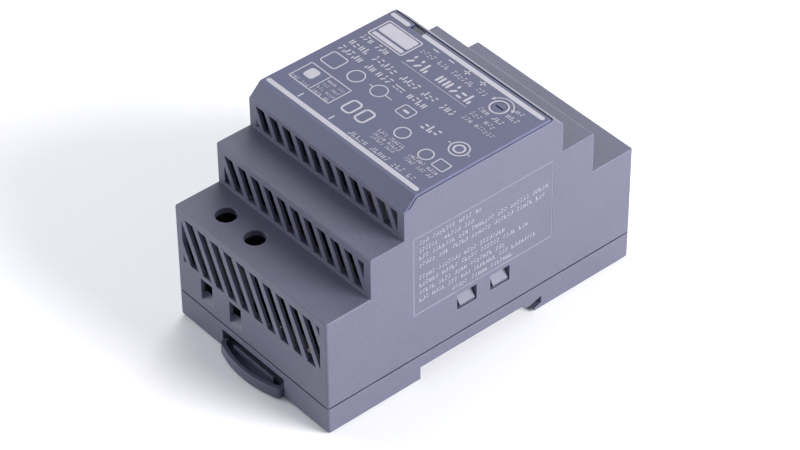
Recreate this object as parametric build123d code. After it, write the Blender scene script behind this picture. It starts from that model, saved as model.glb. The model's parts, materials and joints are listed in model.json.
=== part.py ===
from build123d import *
import os
from math import radians, sqrt, tan

# DIN rail power supply, three modules wide, lying on its back.
# +X is across the width, +Y runs from the input end to the output end, +Z points out of the front.
# The origin is the centre of the face that the rail's flanges rest against.

# ---- casing: driving dimensions, mm --------------------------------------------------------
BODY_WIDTH = 52.5          # three modules of 17.5
BODY_LENGTH = 90.0         # input end to output end
BODY_DEPTH = 54.5          # rail side to front panel
LOW_STEP_HEIGHT = 32.4     # terminal step, above the base's underside
MID_STEP_HEIGHT = 43.4     # middle step, above the base's underside
LOW_STEP_HALF = 32.4       # half length of the body above the terminal step
CAP_HALF = 22.9            # half length of the front cap
CAP_CHAMFER = 3.2          # 45 degree bevel along both ends of the front cap
WALL = 1.6                 # cover wall
CORNER_RADIUS = 0.6        # upright corners of cover and base
EDGE_RADIUS = 0.35         # small rounding of the step edges

BASE_HEIGHT = 7.3          # base wall above the base's underside
SEAM_GAP = 0.6             # shadow gap between base and cover
BASE_WALL_EXTRA = 0.2      # base wall thicker than the cover's
FLOOR_THICKNESS = 1.8      # base floor over the rail recess
RIM_THICKNESS = 1.2        # inner rim that locates the cover
RIM_HEIGHT = 2.0           # rim above the base wall
RIM_CLEARANCE = 0.1
BASE_EDGE_RADIUS = 0.7     # rounding of the base's lower edge

# ---- 35 mm rail recess ---------------------------------------------------------------------
RAIL_WIDTH = 35.0
RAIL_THICKNESS = 1.0
RAIL_CLEARANCE = 0.3       # rail edge to the end of its groove
RAIL_LIP_CLEARANCE = 0.05  # rail's back to the fixed hook
SEAT_HEIGHT = 2.8          # rail seat above the base's underside
RECESS_HEIGHT = 3.9        # recess ceiling above the base's underside
FOOT_MARGIN = 1.0          # latch foot's edge outside the rail's edge
HOOK_REACH = 1.8           # fixed hook's reach under the rail's edge
HOOK_TIP_HEIGHT = 1.0
HOOK_TIP_ROUND = 0.35
SEAT_RIB_WIDTH = 1.0
SEAT_RIB_INSET = 4.1       # start of the seat rib's flat, inside the rail's edge
RIB_SLOPE_RUN = 1.6        # sideways run of the rib's slope for each unit of rise
SEAT_PAD_X = 17.0          # seat pads at the latch foot
SEAT_PAD_HALF = 3.0
SEAT_PAD_DEPTH = 4.0

# ---- rail latch ----------------------------------------------------------------------------
LATCH_OPENING_WIDTH = 21.8
LATCH_OPENING_HEIGHT = 5.7
MOUTH_DEPTH = 4.0          # depth of the driver's opening over the latch
MOUTH_ROOF = 1.2
LATCH_LIP_START = 2.0      # guide lips, from the end wall's outer face
LATCH_TAB_GAP = 0.5        # each side of the tab to the opening
LATCH_TAB_REACH = 3.2      # tab's crown past the end wall
LATCH_TAB_SIDE_REACH = 1.2 # tab's corners past the end wall
LATCH_TAB_HEIGHT = 3.1
LATCH_TAB_ROUND = 1.0
LATCH_RIM = 0.9
LATCH_POCKET_FLOOR = 1.0   # pocket floor above the latch's underside
LATCH_RIB = 0.5            # driver rib across the tab
LATCH_RIB_INSET = 3.4      # rib's ends inside the tab's sides
LATCH_RIB_HEIGHT = 3.4     # rib's top above the base's underside
LATCH_PLATE_THICKNESS = 1.9
LATCH_UNDERSIDE = 0.25     # latch above the base's underside
LATCH_CLEARANCE = 0.3
LATCH_FLANGE = 1.2
LATCH_FLANGE_THICKNESS = 1.05
LATCH_STOP_GAP = 0.1
LATCH_TRAVEL = 4.0
PLATE_SETBACK = 0.5        # plate's end behind the foot's edge
TONGUE_INSET = 1.4         # tongue's sides inside the plate's sides
TONGUE_REACH = 2.6         # tongue past the foot's edge
TONGUE_THICKNESS = 1.3
SPRING_LENGTH = 9.0
SPRING_LEAF = 0.6
SPRING_HALF = 4.5
SPRING_WAVES = 2
SPRING_TALL = 1.3
SPRING_GAP = 0.1
POST_DEPTH = 2.0
POST_HALF = 4.4
POST_FROM_END = 8.0

# ---- front panel ---------------------------------------------------------------------------
PANEL_THICKNESS = 0.7
PANEL_SINK = 0.05          # panel's face below the cover's far edge
PANEL_EDGE_INSET = 0.1     # panel's side edges behind the cover's sides
PANEL_SIDE_GAP = 0.25      # groove under the panel's side edges
PANEL_GROOVE_DEPTH = 0.8
PANEL_END_GAP = 0.45       # gap between the panel and the far bevel
PANEL_PEG_RADIUS = 1.0
PANEL_PEG_LENGTH = 3.0
PANEL_PEG_INSET = 6.25     # pegs from the body's sides
PANEL_PEG_Y = 9.0
PEG_CLEARANCE = 0.05

LED_X = -17.0
LED_WINDOW_WIDTH = 4.1
LED_WINDOW_DEPTH = 1.7
LENS_CLEARANCE = 0.12
LENS_RECESS = 0.45
LENS_FLANGE = 0.4
LENS_GAP = 0.1             # lens foot over the light

TRIMMER_X = 15.7
TRIMMER_Y = 13.5
TRIMMER_KNOB_RADIUS = 1.75
TRIMMER_KNOB_CLEARANCE = 0.1
TRIMMER_KNOB_RECESS = 0.1
TRIMMER_SLOT = 0.45
TRIMMER_SLOT_DEPTH = 0.6
TRIMMER_STEM_RADIUS = 1.2
TRIMMER_STEM_CLEARANCE = 0.06
TRIMMER_END_GAP = 0.1
TRIMMER_BODY = 6.6
TRIMMER_BODY_HEIGHT = 6.0
TRIMMER_BODY_TOP_DROP = 3.4  # trimmer body's top below the front panel's face

# ---- louvres -------------------------------------------------------------------------------
LOUVRE_PITCH = 4.55
LOUVRE_SLOT = 2.93         # slot width measured across the face
LOUVRE_SLOPE = 0.47        # sideways run for each unit of drop
LOUVRE_BAR_DEPTH = 0.8     # bars are thinner than the wall, which is pocketed behind them
LOUVRE_BORDER = 2.25       # plain band at each side of the louvre field
END_LOUVRE_LOW = 17.4      # heights above the base's underside
END_LOUVRE_MARGIN = 2.2    # plain band below the terminal step
LOW_RISER_MARGIN = (0.8, 2.2)   # plain band below and above the lower riser's louvres
HIGH_RISER_MARGIN = (0.8, 1.2)
END_LOUVRE_OFFSET = 1.2    # upper left corner of a slot from the field's left edge, for each face
LOW_RISER_OFFSET = 0.2
HIGH_RISER_OFFSET = -0.1

# ---- printing field, sunk in the +X wall ---------------------------------------------------
FIELD_DEPTH = 0.05
FIELD_HALF = 20.5
FIELD_LOW = 20.2           # heights above the base's underside
FIELD_HIGH = 42.4

# ---- cover snaps ---------------------------------------------------------------------------
SNAP_Y = 4.9
SNAP_WINDOW_WIDTH = 5.8
SNAP_WINDOW_LOW = 14.6
SNAP_WINDOW_HIGH = 19.0
SNAP_HOOK_WIDTH = 4.4
SNAP_HOOK_SHIFT = 0.45     # hook's middle from its window's, towards the output end
SNAP_HOOK_CLEARANCE = 0.2
SNAP_HOOK_SUNK = 0.4       # hook's nose below the outer wall face
SNAP_ARM_THICKNESS = 1.3
SNAP_ARM_GAP = 0.15
SNAP_NOSE_FLAT = 0.5       # upright part of the nose, below its ramp
SNAP_NOSE_TIP = 0.4        # arm left at the top of the ramp

# ---- circuit boards ------------------------------------------------------------------------
BOARD_THICKNESS = 1.6
BOARD_EDGE_GAP = 0.3
LEAD_CLEARANCE = 0.05
LEAD_TAIL = 1.0            # lead below the main board
PAD_HALF = 1.0             # board supports
PAD_X = 22.0
PAD_MID_Y = 12.0
PAD_END_Y = 38.0
CONTROL_BOARD_Y = 17.0
CONTROL_BOARD_INSET = 1.05 # its sides inside the main board's
CONTROL_BOARD_TOP_DROP = 4.6

# ---- terminals: one table for each row -----------------------------------------------------
INPUT_ROW = dict(
    side=-1, centre=-10.83, poles=2, pitch=10.16, entry_width=4.2, cage_width=6.4, cage_wall=0.9,
    bar_width=3.6, screw_radius=1.5, thread_pitch=0.5, head_radius=2.3, access_radius=2.6)
OUTPUT_ROW = dict(
    side=1, centre=-0.5, poles=4, pitch=5.08, entry_width=3.4, cage_width=4.0, cage_wall=0.6,
    bar_width=2.3, screw_radius=1.25, thread_pitch=0.45, head_radius=1.8, access_radius=2.1)
SCREW_FROM_END = 6.5       # screw axis from the end wall's outer face
ENTRY_LOW = 11.5           # wire entry above the base's underside
ENTRY_HIGH = 16.2
ENTRY_SKIN = 0.8           # end wall's thickness round each wire entry
ENTRY_POCKET = 0.5         # thinned band round each wire entry
ENTRY_RAMP_DROP = 1.6      # funnel ramp below the wire entry
BLOCK_END_WALL = 1.4
BLOCK_BACK_WALL = 1.3
BLOCK_GAP = 0.3            # terminal block to cover
CAGE_DEPTH = 5.0
CAGE_CLEARANCE = 0.3
CAGE_SIDE_CLEARANCE = 0.15
CAGE_FLOOR = 1.0
CHAMBER_FLOOR = 0.6        # terminal block's floor on the main board
CAGE_TOP = 1.4
CLAMP_TURNS = 6
BAR_THICKNESS = 0.6
BAR_CLEARANCE = 0.15
BAR_BEND = 0.9             # bar's tail behind the block
SCREW_RUNNING_CLEARANCE = 0.05
SCREW_SHOULDER = 1.3
HEAD_HEIGHT = 1.8
HEAD_CLEARANCE = 0.2
DRIVE_SLOT = 0.6
DRIVE_SLOT_DEPTH = 0.9

# ---- electronics: places on the main board and sizes, mm; heights count from its top ----------
FUSE = dict(x=10.0, y=-39.6, radius=2.5, length=15.0, lift=0.6, cap=3.0, cap_wall=0.25)
THERMISTOR = dict(x=20.2, y=-34.4, radius=4.0, thickness=3.6, lift=1.5)
VARISTOR = dict(x=8.0, y=-33.5, radius=4.5, thickness=3.6, lift=1.5)
X_CAPACITOR = dict(x=12.0, y=-26.0, size=(18.0, 7.5, 15.0), lead_span=15.0)
CHOKE = dict(x=-12.0, y=-26.0, radius=8.0, bore=4.4, thickness=5.0, winding=1.3, lift=1.4, sector=66.0)
BRIDGE = dict(x=14.5, y=-18.6, size=(14.0, 3.6, 10.0), lift=3.0, leads=4, lead_pitch=3.8)
BULK_CAPACITOR = dict(x=-13.0, y=-9.0, radius=9.0, height=34.0, groove=0.7, groove_height=3.1,
                      lead_pitch=7.5)
PRIMARY_SINK = dict(x0=1.5, x1=23.0, y=-13.5, thickness=1.8, height=30.0)
OUTPUT_SINK = dict(x0=-23.0, x1=-5.0, y=20.4, thickness=1.6, height=27.0)
PACKAGE = dict(width=10.0, height=15.5, body_height=9.0, tab=1.3, thickness=4.4, lift=6.0, lead_pitch=2.54,
               hole_radius=1.6, hole_from_top=2.9)
SWITCH_X = 12.5
RECTIFIER_X = -14.0
SINK_SCREW = dict(radius=1.4, length=3.6, head_radius=2.7, head_height=1.8)
TRANSFORMER = dict(x=9.5, y=4.6, core=(26.0, 12.0, 23.0), leg=8.0, window_height=15.0, yoke=4.0,
                   lift=4.0, winding_depth=20.0, base=(24.0, 20.0, 3.0), gap=0.3, coil_round=2.5,
                   pins=5, pin_pitch=4.0)
OUTPUT_CAPACITORS = dict(places=((1.0, 27.4), (12.0, 27.4)), radius=4.9, headroom=1.2, groove=0.5,
                         groove_height=2.5, lead_pitch=5.0)
OUTPUT_CHOKE = dict(x=17.6, y=37.0, flange_radius=4.6, core_radius=2.4, height=11.0, flange=1.4,
                    winding_radius=4.1)
Y_CAPACITOR = dict(x=-17.6, y=37.4, radius=4.0, thickness=3.4, lift=1.5)
OPTOCOUPLER = dict(x=-8.0, height=8.0, size=(4.6, 3.4, 6.4))
CONTROLLER = dict(x=-15.0, height=22.0, size=(5.0, 1.6, 6.0))
LED_BODY = dict(width=3.2, depth=2.4, height=1.6)
DISC_LEAD_SPAN = 5.0
LEAD_RADIUS = 0.4
DISC_ROUNDING = 0.8        # share of a disc's half thickness that is rounded
HEADER_PINS = dict(count=8, pitch=5.0, radius=0.35, height=3.0, offset=1.0)

# ---- derived levels and places -------------------------------------------------------------
bottom_z = -SEAT_HEIGHT
front_z = bottom_z + BODY_DEPTH
low_step_z = bottom_z + LOW_STEP_HEIGHT
mid_step_z = bottom_z + MID_STEP_HEIGHT
cap_edge_z = front_z - CAP_CHAMFER
seam_z = bottom_z + BASE_HEIGHT
cover_bottom_z = seam_z + SEAM_GAP
recess_z = bottom_z + RECESS_HEIGHT
floor_z = recess_z + FLOOR_THICKNESS
half_width = BODY_WIDTH / 2
half_length = BODY_LENGTH / 2
base_wall = WALL + BASE_WALL_EXTRA
louvre_half = half_width - LOUVRE_BORDER
peg_x = half_width - PANEL_PEG_INSET
rail_edge = RAIL_WIDTH / 2
foot_y = -rail_edge - FOOT_MARGIN
hook_tip = rail_edge - HOOK_REACH
rib_edge = rail_edge - SEAT_RIB_INSET
groove_end = rail_edge + RAIL_CLEARANCE
panel_far_y = CAP_HALF - CAP_CHAMFER - PANEL_END_GAP
deck_z = front_z - PANEL_THICKNESS
deck_under_z = deck_z - WALL
rim_half_width = half_width - WALL - RIM_CLEARANCE
rim_half_length = half_length - WALL - RIM_CLEARANCE
board_half_width = rim_half_width - RIM_THICKNESS - BOARD_EDGE_GAP
board_half_length = rim_half_length - RIM_THICKNESS - BOARD_EDGE_GAP
control_half = board_half_width - CONTROL_BOARD_INSET
led_window_y = panel_far_y - LED_WINDOW_DEPTH
rim_top_z = seam_z + RIM_HEIGHT
entry_low_z = bottom_z + ENTRY_LOW
entry_high_z = bottom_z + ENTRY_HIGH
bar_top_z = entry_high_z + BAR_THICKNESS
cage_z = entry_low_z - CAGE_FLOOR
board_top_z = cage_z - CAGE_CLEARANCE - CHAMBER_FLOOR
board_z = board_top_z - BOARD_THICKNESS
chamber_front = SCREW_FROM_END - CAGE_DEPTH / 2 - CAGE_CLEARANCE
chamber_back = SCREW_FROM_END + CAGE_DEPTH / 2 + CAGE_CLEARANCE
block_front = WALL + BLOCK_GAP
block_back = chamber_back + BLOCK_BACK_WALL
mouth_half = LATCH_OPENING_WIDTH / 2
mouth_top_z = bottom_z + LATCH_OPENING_HEIGHT
mouth_back_y = MOUTH_DEPTH - half_length
tab_half = mouth_half - LATCH_TAB_GAP
flange_half = mouth_half - LATCH_CLEARANCE
plate_half = flange_half - LATCH_FLANGE
plate_end = foot_y - PLATE_SETBACK
lip_y = LATCH_LIP_START - half_length
latch_z = bottom_z + LATCH_UNDERSIDE
latch_top_z = latch_z + LATCH_PLATE_THICKNESS
latch_flange_z = latch_top_z - LATCH_FLANGE_THICKNESS
post_y = POST_FROM_END - half_length
spring_end_y = post_y + POST_DEPTH + SPRING_LENGTH
spring_room_half = POST_HALF + LATCH_CLEARANCE
control_top_z = front_z - CONTROL_BOARD_TOP_DROP
led_top_z = control_top_z + LED_BODY["height"]
lens_foot_z = led_top_z + LENS_GAP
trimmer_top_z = front_z - TRIMMER_BODY_TOP_DROP
BEYOND = 5.0               # how far an open-ended cutter runs past the body
PAST = 1.0                 # how far a cutter, or a joined solid, runs past a face
BITE = 0.5                 # how far a head or a foot runs into its shank
SAME_PLACE = 0.01          # edges nearer than this to a place are at it


# ---- small helpers -------------------------------------------------------------------------
def block(x0, x1, y0, y1, z0, z1):
    """A box between limits along each axis."""
    return Pos((x0 + x1) / 2, (y0 + y1) / 2, (z0 + z1) / 2) * Box(x1 - x0, y1 - y0, z1 - z0)


def upright(x, y, radius, z0, z1):
    """A cylinder along Z between two levels."""
    return Pos(x, y, (z0 + z1) / 2) * Cylinder(radius, z1 - z0)


def lying_x(y, z, radius, x0, x1):
    """A cylinder along X between two places."""
    return Pos((x0 + x1) / 2, y, z) * Rot(0, 90, 0) * Cylinder(radius, x1 - x0)


def lying_y(x, z, radius, y0, y1):
    """A cylinder along Y between two places."""
    return Pos(x, (y0 + y1) / 2, z) * Rot(90, 0, 0) * Cylinder(radius, y1 - y0)


def side_profile(points, x0, x1):
    """A solid with an outline of (y, z) points, between two places along X."""
    return Pos(x0, 0, 0) * extrude(Plane.YZ * Polygon(*points, align=None), x1 - x0, dir=(1, 0, 0))


def front_profile(points, y0, y1):
    """A solid with an outline of (x, z) points, between two places along Y."""
    return Pos(0, y0, 0) * extrude(Plane.XZ * Polygon(*points, align=None), y1 - y0, dir=(0, 1, 0))


lead_holes = []            # (x, y, radius) of every lead that passes through the main board


def leads(places, radius, top):
    """Round leads from below the main board up to a level; the board gets a hole for each."""
    lead_holes.extend((x, y, radius) for x, y in places)
    return [upright(x, y, radius, board_z - LEAD_TAIL, top) for x, y in places]


# ---- cover ---------------------------------------------------------------------------------
def cover_outline():
    """Stepped outline of the closed body, from the seam up, as (y, z) points."""
    rising = [(half_length, cover_bottom_z), (half_length, low_step_z), (LOW_STEP_HALF, low_step_z),
              (LOW_STEP_HALF, mid_step_z), (CAP_HALF, mid_step_z), (CAP_HALF, cap_edge_z),
              (CAP_HALF - CAP_CHAMFER, front_z)]
    return [(-y, z) for y, z in rising] + rising[::-1]


def cover_cavity():
    """The outline's inside: one wall in from the steps, and under the panel's deck."""
    diagonal = sqrt(2)
    near_offset = (PANEL_THICKNESS + WALL) * diagonal
    far_offset = WALL * diagonal
    steps = [(half_length - WALL, cover_bottom_z - BEYOND), (half_length - WALL, low_step_z - WALL),
             (LOW_STEP_HALF - WALL, low_step_z - WALL), (LOW_STEP_HALF - WALL, mid_step_z - WALL),
             (CAP_HALF - WALL, mid_step_z - WALL)]
    near = [(-y, z) for y, z in steps]
    near.append((WALL - CAP_HALF, cap_edge_z - near_offset + WALL))
    near.append((near_offset + CAP_CHAMFER - CAP_HALF - PANEL_THICKNESS - WALL, deck_under_z))
    far = [(CAP_HALF - CAP_CHAMFER + PANEL_THICKNESS + WALL - far_offset, deck_under_z),
           (CAP_HALF - WALL, cap_edge_z - far_offset + WALL)]
    inner_half = half_width - WALL
    return side_profile(near + far + steps[::-1], -inner_half, inner_half)


def panel_section(depth):
    """Section of the bent front panel, or of its seat, to a depth below the front face."""
    ledge = depth * sqrt(2)
    inner = depth * tan(radians(22.5))
    return [(-CAP_HALF, cap_edge_z), (CAP_CHAMFER - CAP_HALF, front_z), (panel_far_y, front_z),
            (panel_far_y, front_z - depth), (CAP_CHAMFER - CAP_HALF + inner, front_z - depth),
            (ledge - CAP_HALF, cap_edge_z)]


def panel_seat():
    """Room for the front panel, its side grooves and the gap at its far edge."""
    past = half_width + BEYOND
    lifted = [(-CAP_HALF - BEYOND, cap_edge_z), (-CAP_HALF - BEYOND, front_z + BEYOND),
              (panel_far_y + PANEL_END_GAP, front_z + BEYOND),
              (panel_far_y + PANEL_END_GAP, deck_z)]
    seat = side_profile(lifted + panel_section(PANEL_THICKNESS)[4:], -past, past)
    groove = side_profile(panel_section(PANEL_THICKNESS + PANEL_SIDE_GAP), -past, past)
    inside = half_width - PANEL_GROOVE_DEPTH
    return seat + (groove - block(-inside, inside, -CAP_HALF, CAP_HALF, mid_step_z, front_z))


def clip_slot(x, low, high):
    """Corners of one slanted slot inside the louvre field, in order, as (x, z) points."""
    run = (high - low) * LOUVRE_SLOPE
    slot = [(x, high), (x + LOUVRE_SLOT, high), (x + LOUVRE_SLOT + run, low), (x + run, low)]
    for side in (-1, 1):
        limit = side * louvre_half
        kept = []
        for (ax, az), (bx, bz) in zip(slot, slot[1:] + slot[:1]):
            a_inside, b_inside = ax * side <= louvre_half, bx * side <= louvre_half
            if a_inside:
                kept.append((ax, az))
            if a_inside != b_inside:
                kept.append((limit, az + (bz - az) * (limit - ax) / (bx - ax)))
        slot = kept
    return slot


def louvres(offset, low, high, face_y):
    """Cutters for a row of slanted slots in an end face or riser, at both ends of the cover."""
    start_x = offset - louvre_half
    first = -int((high - low) * LOUVRE_SLOPE / LOUVRE_PITCH) - 1
    last = int(2 * louvre_half / LOUVRE_PITCH) + 1
    cutters = []
    for number in range(first, last + 1):
        corners = clip_slot(start_x + number * LOUVRE_PITCH, low, high)
        if len(corners) < 3:
            continue
        near = front_profile(corners, -face_y - PAST, WALL + PAST - face_y)
        cutters += [near, mirror(near, Plane.XZ)]
    pocket = block(-louvre_half, louvre_half, LOUVRE_BAR_DEPTH - face_y, WALL + BITE - face_y, low, high)
    return cutters + [pocket, mirror(pocket, Plane.XZ)]


def row_places(row):
    """X of every pole in a terminal row."""
    first = row["centre"] - (row["poles"] - 1) * row["pitch"] / 2
    return [first + number * row["pitch"] for number in range(row["poles"])]


def row_block(row, x, half, near, far, z0, z1):
    """A box about a pole, between two distances in from that row's end wall."""
    ends = sorted(row["side"] * (half_length - d) for d in (near, far))
    return block(x - half, x + half, ends[0], ends[1], z0, z1)


def wire_entry(row, x):
    """Rectangular wire hole through the end wall, with a ramp that rises into it."""
    half = row["entry_width"] / 2
    hole = row_block(row, x, half, -BEYOND, WALL + PAST, entry_low_z, entry_high_z)
    end, inner = half_length + PAST, half_length - WALL
    slope = ENTRY_RAMP_DROP / WALL
    ramp = [(-end, entry_low_z - ENTRY_RAMP_DROP - slope), (-inner, entry_low_z), (-end, entry_low_z)]
    wedge = side_profile([(-row["side"] * y, z) for y, z in ramp], x - half, x + half)
    pocket = row_block(row, x, half + ENTRY_POCKET, ENTRY_SKIN, WALL + PAST, entry_low_z,
                       entry_high_z + ENTRY_POCKET)
    return hole + wedge + pocket


def cover_shell():
    outer = side_profile(cover_outline(), -half_width, half_width)
    corners = [e for e in outer.edges().filter_by(Axis.Z) if is_corner(e.center())]
    outer = fillet(corners, CORNER_RADIUS)
    steps = [e for e in outer.edges().filter_by(Axis.X) if is_step_edge(e.center())]
    outer = fillet(steps, EDGE_RADIUS)
    cutters = [cover_cavity(), panel_seat()]
    end_low, end_high = bottom_z + END_LOUVRE_LOW, low_step_z - END_LOUVRE_MARGIN
    cutters += louvres(END_LOUVRE_OFFSET, end_low, end_high, half_length)
    below, above = LOW_RISER_MARGIN
    cutters += louvres(LOW_RISER_OFFSET, low_step_z + below, mid_step_z - above, LOW_STEP_HALF)
    below, above = HIGH_RISER_MARGIN
    cutters += louvres(HIGH_RISER_OFFSET, mid_step_z + below, cap_edge_z - above, CAP_HALF)
    for row in (INPUT_ROW, OUTPUT_ROW):
        y = row["side"] * (half_length - SCREW_FROM_END)
        for x in row_places(row):
            cutters.append(wire_entry(row, x))
            cutters.append(upright(x, y, row["access_radius"], low_step_z - WALL - PAST, low_step_z + PAST))
    half = SNAP_WINDOW_WIDTH / 2
    for y in (-SNAP_Y, SNAP_Y):
        cutters.append(block(-half_width - PAST, half_width + PAST, y - half, y + half,
                             bottom_z + SNAP_WINDOW_LOW, bottom_z + SNAP_WINDOW_HIGH))
    cutters.append(block(half_width - FIELD_DEPTH, half_width + PAST, -FIELD_HALF, FIELD_HALF,
                         bottom_z + FIELD_LOW, bottom_z + FIELD_HIGH))
    cutters.append(led_window(deck_under_z - PAST, deck_z + PAST))
    cutters.append(knob_hole(deck_under_z - PAST, deck_z + PAST))
    cutters += [upright(x, y, PANEL_PEG_RADIUS + PEG_CLEARANCE, deck_under_z - PAST, deck_z + PAST)
                for x, y in peg_places()]
    return outer - cutters


def is_corner(centre):
    """True at an upright corner of the end walls."""
    return abs(abs(centre.Y) - half_length) < SAME_PLACE


def is_step_edge(centre):
    """True at the outer edge of either step, at either end."""
    edges = ((half_length, low_step_z), (LOW_STEP_HALF, mid_step_z))
    return any(abs(abs(centre.Y) - y) + abs(centre.Z - z) < SAME_PLACE for y, z in edges)


# ---- front panel ---------------------------------------------------------------------------
def led_window(z0, z1):
    """Room for the indicator lens, open to the panel's far edge."""
    half = LED_WINDOW_WIDTH / 2
    return block(LED_X - half, LED_X + half, led_window_y, panel_far_y, z0, z1)


def knob_hole(z0, z1):
    return upright(TRIMMER_X, TRIMMER_Y, TRIMMER_KNOB_RADIUS + TRIMMER_KNOB_CLEARANCE, z0, z1)


def peg_places():
    return [(x, y) for x in (-peg_x, peg_x) for y in (-PANEL_PEG_Y, PANEL_PEG_Y)]


def front_panel():
    half = half_width - PANEL_EDGE_INSET
    plate = side_profile(panel_section(PANEL_THICKNESS), -half, half)
    plate = plate - side_profile(panel_section(PANEL_SINK), -half_width, half_width)
    pegs = [upright(x, y, PANEL_PEG_RADIUS, deck_z - PANEL_PEG_LENGTH, deck_z) for x, y in peg_places()]
    low, high = deck_z - PAST, front_z + PAST
    return plate + pegs - [led_window(low, high), knob_hole(low, high)]


def indicator_lens():
    """Light pipe from the board's light to the window, with a flange under the deck."""
    half = LED_WINDOW_WIDTH / 2 - LENS_CLEARANCE
    low_y, high_y = led_window_y + LENS_CLEARANCE, panel_far_y - LENS_CLEARANCE
    bar = block(LED_X - half, LED_X + half, low_y, high_y, lens_foot_z, front_z - LENS_RECESS)
    flange = block(LED_X - half - LENS_FLANGE, LED_X + half + LENS_FLANGE, low_y - LENS_FLANGE, high_y,
                   lens_foot_z, deck_under_z)
    return bar + flange


# ---- base ----------------------------------------------------------------------------------
def recess_outline():
    """Rail recess as (y, z) points: latch foot edge, ceiling, seat rib, rail groove, hook tip."""
    lip_z = -RAIL_THICKNESS - RAIL_LIP_CLEARANCE
    return [(foot_y, bottom_z - BEYOND), (foot_y, recess_z),
            (rib_edge - recess_z * RIB_SLOPE_RUN, recess_z), (rib_edge, 0), (rib_edge + SEAT_RIB_WIDTH, 0),
            (groove_end, recess_z), (groove_end, lip_z), (hook_tip, bottom_z + HOOK_TIP_HEIGHT),
            (hook_tip, bottom_z + HOOK_TIP_ROUND), (hook_tip + HOOK_TIP_ROUND, bottom_z),
            (hook_tip + HOOK_TIP_ROUND, bottom_z - BEYOND)]


def snap_hook(side, y):
    """Springy arm with a ramped nose that fills a window in the cover's side."""
    face = half_width - WALL - SNAP_ARM_GAP
    low = bottom_z + SNAP_WINDOW_LOW + SNAP_HOOK_CLEARANCE
    high = bottom_z + SNAP_WINDOW_HIGH - SNAP_HOOK_CLEARANCE
    nose = half_width - SNAP_HOOK_SUNK
    back = face - SNAP_ARM_THICKNESS
    outline = [(back, floor_z - PAST), (face, floor_z - PAST), (face, low), (nose, low),
               (nose, low + SNAP_NOSE_FLAT), (back + SNAP_NOSE_TIP, high), (back, high)]
    middle = y + SNAP_HOOK_SHIFT
    half = SNAP_HOOK_WIDTH / 2
    points = [(side * x, z) for x, z in outline]
    return front_profile(points, middle - half, middle + half)


def latch_room():
    """Cutters for the latch: its mouth in the end wall, its channel and the grooves for its flanges."""
    mouth = block(-mouth_half, mouth_half, -half_length - PAST, mouth_back_y, bottom_z - PAST, mouth_top_z)
    roof = latch_top_z + LATCH_CLEARANCE
    slot_half = plate_half + LATCH_CLEARANCE
    channel = block(-slot_half, slot_half, -half_length - PAST, foot_y + PAST, bottom_z - PAST, roof)
    groove = block(-mouth_half, mouth_half, -half_length - PAST, foot_y + PAST,
                   latch_flange_z - LATCH_CLEARANCE, roof)
    lip_end = block(-mouth_half, mouth_half, -half_length - PAST, lip_y, bottom_z - PAST, roof)
    return [mouth, channel, groove, lip_end]


def base_shell():
    outer = block(-half_width, half_width, -half_length, half_length, bottom_z, seam_z)
    outer = fillet(outer.edges().filter_by(Axis.Z), CORNER_RADIUS)
    outer = fillet(outer.faces().sort_by(Axis.Z)[0].edges(), BASE_EDGE_RADIUS)
    x_in, y_in = half_width - base_wall, half_length - base_wall
    shell = outer - block(-x_in, x_in, -y_in, y_in, floor_z, seam_z + PAST)
    foot_floor = bottom_z + FLOOR_THICKNESS
    channel_wall = mouth_half + base_wall
    pockets = [block(x, x + x_in - channel_wall, -y_in, foot_y - base_wall, foot_floor, seam_z + PAST)
               for x in (-x_in, channel_wall)]
    pockets.append(block(-x_in, x_in, groove_end + base_wall, y_in, foot_floor, seam_z + PAST))
    shell = shell - pockets
    hood = block(-channel_wall, channel_wall, base_wall / 2 - half_length, mouth_back_y + base_wall,
                 floor_z - PAST, mouth_top_z + MOUTH_ROOF)
    rim = block(-rim_half_width, rim_half_width, -rim_half_length, rim_half_length, floor_z - PAST, rim_top_z)
    rim_in_x, rim_in_y = rim_half_width - RIM_THICKNESS, rim_half_length - RIM_THICKNESS
    rim = rim - block(-rim_in_x, rim_in_x, -rim_in_y, rim_in_y, floor_z - 2, rim_top_z + PAST)
    pad_feet = ((PAD_END_Y, foot_floor), (PAD_MID_Y, floor_z))
    supports = [block(x - PAD_HALF, x + PAD_HALF, y - PAD_HALF, y + PAD_HALF, foot - PAST, board_z)
                for x in (-PAD_X, PAD_X) for place, foot in pad_feet for y in (-place, place)]
    hooks = [snap_hook(side, y) for side in (-1, 1) for y in (-SNAP_Y, SNAP_Y)]
    shell = shell + [hood, rim] + supports + hooks
    shell = shell - latch_room() - side_profile(recess_outline(), -half_width - PAST, half_width + PAST)
    post = block(-POST_HALF, POST_HALF, post_y, post_y + POST_DEPTH,
                 latch_z + LATCH_CLEARANCE, floor_z - PAST)
    pad = block(-SEAT_PAD_HALF, SEAT_PAD_HALF, -rail_edge, SEAT_PAD_DEPTH - rail_edge, 0, floor_z - PAST)
    seats = [Pos(x, 0, 0) * pad for x in (-SEAT_PAD_X, SEAT_PAD_X)]
    return shell + [post] + seats


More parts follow.
